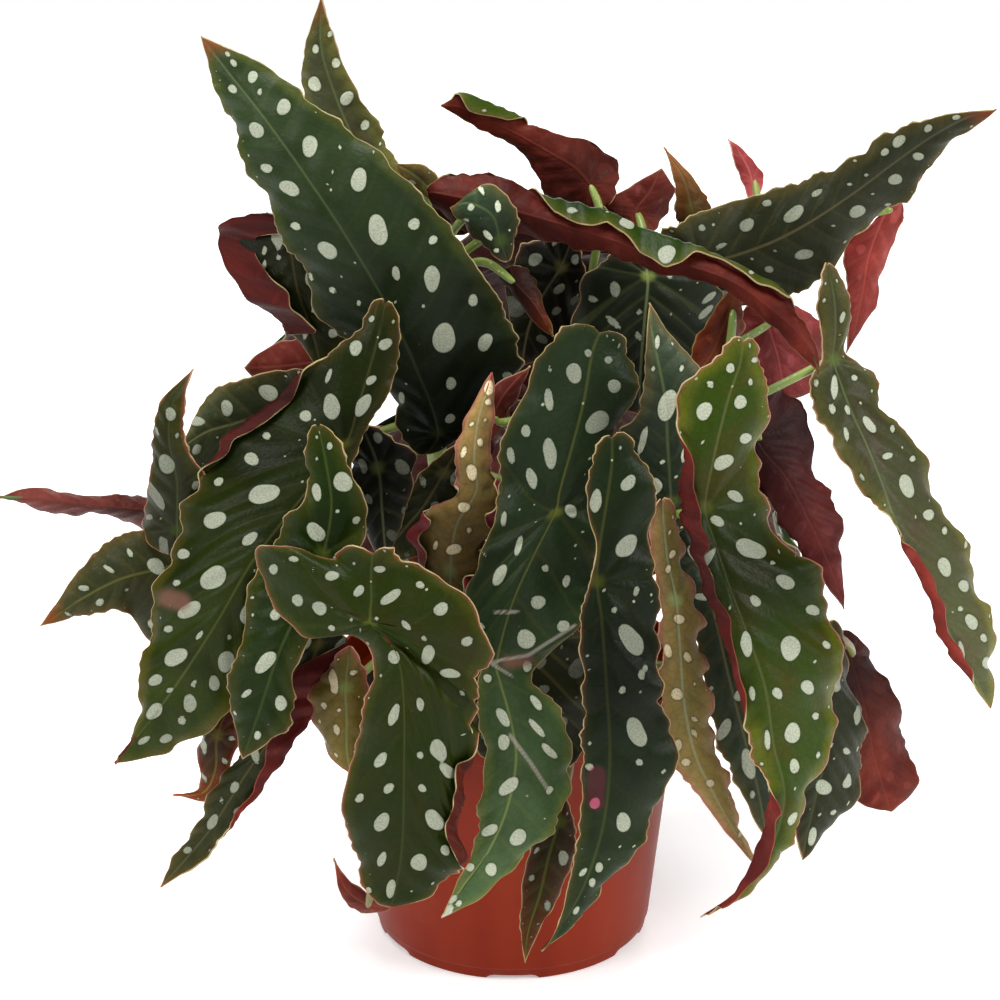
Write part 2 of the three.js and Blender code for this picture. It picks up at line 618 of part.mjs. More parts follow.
// Places along the blade, evenly spaced by length, with one exactly on the joint's row.
function rowPlaces(lines, joint, pitch) {
  const last = lines[1].length - 1;
  const lengths = [0];
  const places = [0];
  let before = lines.map((line, side) => onLine(lines, side, 0));
  for (let k = 1; k <= last * FINE_STEPS; k += 1) {
    const now = lines.map((line, side) => onLine(lines, side, k / FINE_STEPS));
    const step = now.reduce((sum, p, side) => sum + p.distanceTo(before[side]), 0) / 3;
    lengths.push(lengths[k - 1] + step);
    places.push(k / FINE_STEPS);
    before = now;
  }
  const at = (length) => {
    let k = lengths.findIndex((value) => value >= length);
    k = Math.max(1, k < 0 ? lengths.length - 1 : k);
    const share = (length - lengths[k - 1]) / (lengths[k] - lengths[k - 1]);
    return places[k - 1] + share * (places[k] - places[k - 1]);
  };
  const whole = lengths[lengths.length - 1];
  const toJoint = lengths[joint * FINE_STEPS];
  const start = BLADE.blunt;
  const end = whole - BLADE.blunt;
  const first = Math.max(1, Math.round(toJoint / pitch));
  const rest = Math.max(BLADE.leastRows, Math.round((whole - toJoint) / pitch));
  const result = [];
  for (let k = 0; k < first; k += 1) result.push(at(start + ((toJoint - start) * k) / first));
  for (let k = 0; k <= rest; k += 1) {
    result.push(k === 0 ? joint : at(toJoint + ((end - toJoint) * k) / rest));
  }
  return { places: result, jointRow: first, whole };
}

const smooth = (low, high, x) => THREE.MathUtils.smoothstep(x, low, high);

// How much of an edge is turned over at a share of the blade's length, from 0 to 1.
function rollShare({ from, to }, share) {
  return smooth(from, from + ROLL.ramp, share) * (1 - smooth(to - ROLL.ramp, to, share));
}

// One row of points across the blade, from the left edge to the right one.
function acrossBlade(lines, roll, u, share, whole, facing) {
  const [left, rib, right] = lines.map((line, side) => onLine(lines, side, u));
  const ahead = onLine(lines, 1, Math.min(u + RIB_STEP, lines[1].length - 1));
  const back = onLine(lines, 1, Math.max(u - RIB_STEP, 0));
  const along = ahead.sub(back).normalize();
  const row = [];
  const half = (edge, side) => {
    const reach = edge.clone().sub(rib);
    const width = reach.length();
    const outward = reach.clone().normalize();
    const up = new THREE.Vector3().crossVectors(outward, along).normalize();
    if (up.dot(facing) < 0) up.negate();
    const length = share * whole;
    const phase = 2 * side * BLADE.sidePhase + whole;
    const wave = BLADE.wave * Math.min(1, width / BLADE.waveWidth)
      * Math.sin((2 * Math.PI * length) / BLADE.wavePitch + phase);
    const tooth = BLADE.tooth * Math.min(1, width / BLADE.toothWidth)
      * Math.sin((2 * Math.PI * length) / BLADE.toothPitch + 2 * phase);
    const points = [];
    for (let k = 1; k <= BLADE.halfColumns; k += 1) {
      const v = k / BLADE.halfColumns;
      points.push(
        rib.clone()
          .addScaledVector(reach, v)
          .addScaledVector(outward, tooth * v ** BLADE.toothHold)
          .addScaledVector(up, BLADE.puff * width * 4 * v * (1 - v) + wave * v * v),
      );
    }
    if (roll && roll.side === side / 2) {
      const edgePoint = points[points.length - 1];
      const full = Math.PI * ROLL.radius + roll.width;
      const turned = Math.max(ROLL.least, full * rollShare(roll, share));
      for (let k = 1; k <= ROLL.columns; k += 1) {
        const run = (turned * k) / ROLL.columns;
        const angle = Math.min(run / ROLL.radius, Math.PI);
        const straight = run - angle * ROLL.radius;
        points.push(
          edgePoint.clone()
            .addScaledVector(outward, ROLL.radius * Math.sin(angle) - straight)
            .addScaledVector(up, ROLL.radius * (1 - Math.cos(angle))),
        );
      }
    }
    return points;
  };
  row.push(...half(left, 0).reverse(), rib, ...half(right, 2));
  return row;
}

// A closed thin sheet from a grid of points: both faces are split along the same diagonals.
function sheet(grid, thickness) {
  const rows = grid.length;
  const columns = grid[0].length;
  const front = [];
  const back = [];
  for (let i = 0; i < rows; i += 1) {
    for (let j = 0; j < columns; j += 1) {
      const down = grid[Math.min(i + 1, rows - 1)][j].clone().sub(grid[Math.max(i - 1, 0)][j]);
      const side = grid[i][Math.min(j + 1, columns - 1)].clone().sub(grid[i][Math.max(j - 1, 0)]);
      const normal = new THREE.Vector3().crossVectors(side, down).normalize();
      front.push(grid[i][j].clone().addScaledVector(normal, thickness / 2));
      back.push(grid[i][j].clone().addScaledVector(normal, -thickness / 2));
    }
  }
  const points = [...front, ...back];
  const count = rows * columns;
  const index = [];
  for (let i = 0; i < rows - 1; i += 1) {
    for (let j = 0; j < columns - 1; j += 1) {
      const a = i * columns + j;
      const b = a + 1;
      const c = a + columns;
      const d = c + 1;
      index.push(a, b, c, b, d, c);
      index.push(a + count, c + count, b + count, b + count, c + count, d + count);
    }
  }
  const wall = (p, q) => index.push(p, q, q + count, p, q + count, p + count);
  for (let j = 0; j < columns - 1; j += 1) {
    wall(j + 1, j);
    wall((rows - 1) * columns + j, (rows - 1) * columns + j + 1);
  }
  for (let i = 0; i < rows - 1; i += 1) {
    wall(i * columns, (i + 1) * columns);
    wall((i + 2) * columns - 1, (i + 1) * columns - 1);
  }
  return new THREE.BufferGeometry().setFromPoints(points).setIndex(index);
}

// A blade, with the place of its joint and the direction out of its underside there.
function makeBlade(lines, leaf, facing) {
  const { joint, roll, under, pitch, toward, drop = -Infinity } = leaf;
  const { places, jointRow, whole } = rowPlaces(lines, joint, pitch);
  const grid = places.map((u, i) => {
    return acrossBlade(lines, roll, u, i / (places.length - 1), whole, facing);
  });
  const geometry = sheet(grid, BLADE.thickness);
  const ribColumn = BLADE.halfColumns + (roll && roll.side === 0 ? ROLL.columns : 0);
  const at = grid[jointRow][ribColumn];
  const down = grid[jointRow + 1][ribColumn].clone().sub(grid[jointRow - 1][ribColumn]);
  const side = grid[jointRow][ribColumn + 1].clone().sub(grid[jointRow][ribColumn - 1]);
  const below = new THREE.Vector3().crossVectors(side, down).normalize();
  if (below.dot(facing) > 0 !== Boolean(under)) below.negate();
  // A stalk comes to the middle of the back, or along it where the back faces the front, or down
  // to it where the blade hangs lower than the pot's rim.
  const from = below.clone();
  if (toward) from.set(...toward);
  else if (at.z < POT.height + COMING.low) from.multiplyScalar(COMING.out).add(new THREE.Vector3(0, 0, 1));
  else if (under) from.multiplyScalar(COMING.off).sub(down.normalize());
  const gap = under ? STALK_GAP.crowned : STALK_GAP.hollow;
  return { body: solid(geometry), geometry, at, below, gap, drop, from: from.normalize() };
}

// A round tube along a curve, closed at both ends.
function tube(curve, radius, sides, steps) {
  const ring = Array.from({ length: sides }, (unused, k) => {
    const angle = (2 * Math.PI * k) / sides;
    return new THREE.Vector2(radius * Math.cos(angle), radius * Math.sin(angle));
  });
  const shape = new THREE.Shape(ring);
  return new THREE.ExtrudeGeometry(shape, { extrudePath: curve, steps, bevelEnabled: false });
}

function caneCurve([[footX, footY], bend, head]) {
  const foot = new THREE.Vector3(footX, footY, SOIL_TOP - CANE_DEPTH);
  const collar = new THREE.Vector3(footX, footY, SOIL_TOP + CANE_COLLAR);
  return new THREE.CatmullRomCurve3([
    foot, collar, new THREE.Vector3(...bend), new THREE.Vector3(...head),
  ]);
}

// The pot: a closed profile turned round the axis, with channels and drain holes cut in its base.
function makePot() {
  const { height, baseRadius, wallSlope, wall, floor, sides } = POT;
  const { bandHeight, bandStep, bandLip, footStep } = POT;
  const outside = (z) => baseRadius + wallSlope * z;
  const bandLow = height - bandHeight;
  const step = footStep.height;
  const profile = [
    [0, 0],
    [outside(0) - footStep.inset, 0],
    [outside(step) - footStep.inset, step],
    [outside(step), step + footStep.inset],
    [outside(bandLow), bandLow],
    [outside(bandLow) + bandStep, bandLow + bandLip],
    [outside(height) + bandStep, height],
    [outside(height) + bandStep - wall, height],
    [outside(bandLow) + bandStep - wall, bandLow + wall],
    [outside(bandLow) - wall, bandLow],
    [outside(floor) - wall, floor],
    [0, floor],
  ].map(([radius, z]) => new THREE.Vector2(radius, z));
  profile.push(profile[0].clone());
  let body = solid(new THREE.LatheGeometry(profile, sides).rotateX(Math.PI / 2));
  if (body.volume() < 0) throw new Error("the pot's profile runs the wrong way");
  for (let k = 0; k < CHANNEL.count; k += 1) {
    const turn = (2 * Math.PI * k) / CHANNEL.count;
    const outer = baseRadius + CHANNEL.past;
    const inner = baseRadius - CHANNEL.length;
    const channel = new THREE.BoxGeometry(CHANNEL.width, outer - inner, 2 * CHANNEL.height);
    channel.translate(0, -(outer + inner) / 2, 0).rotateZ(turn);
    body = body.subtract(solid(channel));
  }
  for (let k = 0; k < DRAIN.count; k += 1) {
    const turn = (2 * Math.PI * (k + 0.5)) / DRAIN.count;
    const hole = new THREE.CylinderGeometry(DRAIN.radius, DRAIN.radius, 4 * floor, DRAIN.sides);
    hole.rotateX(Math.PI / 2).translate(0, -DRAIN.ring, floor / 2).rotateZ(turn);
    body = body.subtract(solid(hole));
  }
  return body;
}

// Potting soil: it fills the pot, with a plain hole for each cane.
function makeSoil() {
  const { baseRadius, wallSlope, wall, floor, sides } = POT;
  const inside = (z) => baseRadius + wallSlope * z - wall - GAP;
  const low = floor + GAP;
  const edge = SOIL_TOP - SOIL_EDGE.drop;
  const profile = [
    [0, low],
    [inside(low), low],
    [inside(edge), edge],
    [inside(SOIL_TOP) - SOIL_EDGE.width, SOIL_TOP],
    [SOIL_HEAP.radius, SOIL_TOP + SOIL_HEAP.edge],
    [0, SOIL_TOP + SOIL_HEAP.middle],
  ].map(([radius, z]) => new THREE.Vector2(radius, z));
  let body = solid(new THREE.LatheGeometry(profile, sides).rotateX(Math.PI / 2));
  for (const [[x, y]] of Object.values(CANES)) {
    const radius = CANE_RADIUS + HOLE_ROOM;
    const hole = new THREE.CylinderGeometry(radius, radius, 2 * CANE_DEPTH, HOLE_SIDES);
    hole.rotateX(Math.PI / 2).translate(x, y, SOIL_TOP - GAP);
    body = body.subtract(solid(hole));
  }
  return body;
}

// Every blade, in the order of the lists.
const blades = new Map();
for (const [name, leaf] of Object.entries(LEAVES)) {
  const lines = leafLines(leaf);
  const middle = onLine(lines, 1, leaf.rows.length / 2);
  const facing = VIEW.eye.clone().sub(middle).normalize();
  blades.set(name, makeBlade(lines, { ...leaf, pitch: BLADE.rowPitch }, facing));
}
for (const [name, leaf] of Object.entries(BACK_LEAVES)) {
  const lines = backLines(leaf);
  const turn = leaf.bearing * (Math.PI / 180);
  const facing = new THREE.Vector3(-Math.sin(turn), -Math.cos(turn), BACK_SHAPE.lift).normalize();
  blades.set(name, makeBlade(lines, { joint: BACK_SHAPE.joint, pitch: BLADE.backRowPitch }, facing));
}

// A leaf stalk runs from a cane to the back of its blade. It takes the shortest of a few ways, from
// each cane and height, that stays clear of every blade, of the pot and of the other canes.
// It leaves its cane at most `above` over its end, `first` over the soil or `under` the cane's head.
const CLIMB = { step: 14, count: 10, above: 20, first: 60, least: 6, under: 3 };
const BENDS = [
  [0, 0], [14, 0], [-14, 0], [0, 14], [0, -14], [28, 0], [-28, 0], [0, 28], [0, -28],
  [20, 20], [-20, 20], [20, -20], [-20, -20], [0, 50], [40, 0], [-40, 0], [0, 75],
];
const LEAVE = 0.3; // how far a stalk runs out from its cane before it bends, as a share of its length
const ARRIVE = 0.36; // how far it runs straight to its blade
const CLEAR = 0.5; // from a stalk's side to anything else
const STALK_STEPS = 6;

function pointAtHeight(curve, height) {
  let low = 0;
  let high = 1;
  for (let k = 0; k < 20; k += 1) {
    const middle = (low + high) / 2;
    if (curve.getPoint(middle).z < height) low = middle;
    else high = middle;
  }
  return curve.getPoint(low);
}

function stalkWays(blade, canes) {
  const lean = Math.sqrt(Math.max(0, 1 - blade.from.dot(blade.below) ** 2));
  const off = BLADE.thickness / 2 + blade.gap + STALK_RADIUS * lean;
  const end = blade.at.clone().addScaledVector(blade.below, off);
  const ways = [];
  for (const [cane, curve] of canes) {
    const top = curve.getPoint(1).z;
    for (let k = 0; k < CLIMB.count; k += 1) {
      const wanted = Math.max(end.z + CLIMB.above, SOIL_TOP + CLIMB.first);
      const height = Math.min(wanted, end.z - blade.drop, top - CLIMB.under) - k * CLIMB.step;
      if (height < SOIL_TOP + CLIMB.least) continue;
      const start = pointAtHeight(curve, height);
      const length = start.distanceTo(end);
      const flat = end.clone().sub(start).setZ(0).normalize();
      for (const [sideways, upwards] of BENDS) {
        const bend = new THREE.Vector3(-flat.y * sideways, flat.x * sideways, upwards);
        const leave = start.clone().addScaledVector(flat, LEAVE * length).add(bend);
        leave.z += LEAVE * length;
        const arrive = end.clone().addScaledVector(blade.from, ARRIVE * length).add(bend);
        const way = new THREE.CubicBezierCurve3(start, leave, arrive, end);
        ways.push({ cane, way, cost: way.getLength() + Math.hypot(sideways, upwards) });
      }
    }
  }
  return ways.sort((a, b) => a.cost - b.cost);
}

const obstacle = (name, body) => {
  const { min, max } = body.boundingBox();
  return { name, body, box: new THREE.Box3(new THREE.Vector3(...min), new THREE.Vector3(...max)) };
};

const stalkTube = (way, radius) => solid(tube(way, radius, STALK_SIDES, STALK_STEPS));

function isClear(body, others) {
  const { box } = obstacle("", body);
  return others.every((other) => {
    return !box.intersectsBox(other.box) || body.intersect(other.body).volume() <= 0;
  });
}

const potBody = makePot();
const soilBody = makeSoil();
const canes = Object.entries(CANES).map(([name, points]) => [name, caneCurve(points)]);
const fixed = [...blades].map(([name, { body }]) => obstacle(name, body));
fixed.push(obstacle("pot", potBody), obstacle("soil", soilBody));
const caneBodies = new Map(
  canes.map(([name, curve]) => [name, solid(tube(curve, CANE_RADIUS, CANE_SIDES, CANE_STEPS))]),
);
for (const [name, blade] of blades) {
  const clear = stalkWays(blade, canes).find(({ cane, way }) => {
    const otherCanes = [...caneBodies].filter(([other]) => other !== cane);
    const others = [
      ...fixed.filter((other) => other.name !== name),
      ...otherCanes.map(([other, body]) => obstacle(other, body)),
    ];
    return isClear(stalkTube(way, STALK_RADIUS + CLEAR), others)
      && isClear(stalkTube(way, STALK_RADIUS), fixed);
  });
  if (!clear) throw new Error(`no clear way for the stalk of ${name}`);
  const stalk = stalkTube(clear.way, STALK_RADIUS);
  caneBodies.set(clear.cane, caneBodies.get(clear.cane).add(stalk));
}

addPiece("pot", geometryOf(potBody), POT_COLOUR, 0.45);
addPiece("soil", geometryOf(soilBody), SOIL_COLOUR, 0.95);
for (const [name, body] of caneBodies) addPiece(name, geometryOf(body), STEM_COLOUR, 0.5);
for (const [name, { geometry }] of blades) {
  const leaf = LEAVES[name] ?? { tone: "dark" };
  addPiece(name, geometry, leaf.under ? UNDERSIDE : TONES[leaf.tone], 0.42);
}

export default part;
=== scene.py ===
# %% [markdown]
# # A polka dot begonia in a grower's pot
# This notebook dresses a measured model of the plant. The model gives every piece its place: a
# plastic pot, its soil, five canes with their leaf stalks, and the leaves. Here each gets the form
# and the finish of the real thing: thin waved leaves with silvery spots, veins and toothed margins,
# wine-red undersides, fleshy stalks, crumbly soil and a moulded pot. Sizes are worked out in
# millimetres and written to Blender in metres.

import bmesh
import bpy
import numpy as np
from mathutils import Euler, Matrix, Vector


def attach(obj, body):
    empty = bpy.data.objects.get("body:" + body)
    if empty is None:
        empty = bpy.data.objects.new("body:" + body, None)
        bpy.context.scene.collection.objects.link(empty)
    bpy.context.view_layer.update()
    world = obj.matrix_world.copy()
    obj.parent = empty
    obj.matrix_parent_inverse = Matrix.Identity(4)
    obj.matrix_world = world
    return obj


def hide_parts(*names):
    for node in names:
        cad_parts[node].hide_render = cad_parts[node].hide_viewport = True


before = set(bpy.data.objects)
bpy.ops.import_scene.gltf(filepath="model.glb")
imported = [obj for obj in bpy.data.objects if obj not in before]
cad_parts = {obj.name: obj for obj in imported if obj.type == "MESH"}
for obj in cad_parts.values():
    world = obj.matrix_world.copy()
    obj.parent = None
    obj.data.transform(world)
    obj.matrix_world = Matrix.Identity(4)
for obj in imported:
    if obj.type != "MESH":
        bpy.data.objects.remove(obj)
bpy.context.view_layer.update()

MM = 0.001
scene = bpy.context.scene
print("nodes:", len(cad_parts))

# %% [markdown]
# ## The camera
# A plant is best drawn from a picture with a long lens, because the leaves then keep their sizes
# from front to back. This camera stands 1.25 m away and looks down by 22 degrees. Its numbers come
# first, because the leaves below are given by their places in its picture.

# %% Camera numbers
TILT = np.radians(22.0)
DISTANCE = 1250.0  # from the pot's axis, in mm
PICTURE = 1000  # pixels across
FOCUS = 3385.0  # focal length in those pixels
MIDDLE = PICTURE / 2
AIM_X, AIM_Z = -4.7, 172.6  # what the camera looks at, beside the pot's axis, in mm
EYE = np.array([AIM_X, -DISTANCE * np.cos(TILT), AIM_Z + DISTANCE * np.sin(TILT)])
MM_PER_PIXEL = DISTANCE / FOCUS
print("eye in mm:", EYE.round(1), "and mm in a pixel:", round(MM_PER_PIXEL, 4))


def placed(px, py, depth):
    """The place in mm that shows at px, py in the picture and lies `depth` behind the pot's axis.

    A ray runs from the eye through the pixel, and is followed until its y is the depth."""
    across, up = (px - MIDDLE) / FOCUS, (MIDDLE - py) / FOCUS
    ray = np.stack([
        across,
        np.cos(TILT) + up * np.sin(TILT),
        -np.sin(TILT) + up * np.cos(TILT),
    ], axis=-1)
    return EYE + ray * ((depth - EYE[1]) / ray[..., 1])[..., None]


# %% Make the camera
lens = bpy.data.cameras.new("camera")
lens.sensor_width = 36.0
lens.lens = FOCUS / PICTURE * lens.sensor_width
lens.clip_start, lens.clip_end = 0.05, 50
camera = bpy.data.objects.new("camera", lens)
camera.location = Vector(EYE * MM)
camera.rotation_euler = Euler((np.pi / 2 - TILT, 0, 0))
scene.collection.objects.link(camera)
scene.camera = camera
print("lens in mm:", round(lens.lens, 2))

# %% [markdown]
# ## The leaves' outlines
# A begonia's leaf is an angel's wing: a blade with two unequal halves on a rib, a round lobe above
# the stalk's joint and a long point. It could be drawn as a flat outline and bent, but real blades
# twist and cup, so each is given by rows that run across it. A row reads: left edge x,y, then rib
# x,y,depth, then right edge x,y, in pixels and mm. The first row is the lobe's end and the last the
# tip, each one place. `cup` says how far the left and the right edge fall back for each mm from the
# rib. `rolls` are stretches of an edge that is turned over: the side, and then either its width in
# mm with the shares of the leaf's length from where to where, or the width at each of some shares.

# %% Leaves as the picture shows them
def rows(text):
    """Rows of numbers: a semicolon ends a row, a space a place, and a comma a number."""
    return [[float(n) for n in row.replace(",", " ").split()] for row in text.split(";")]


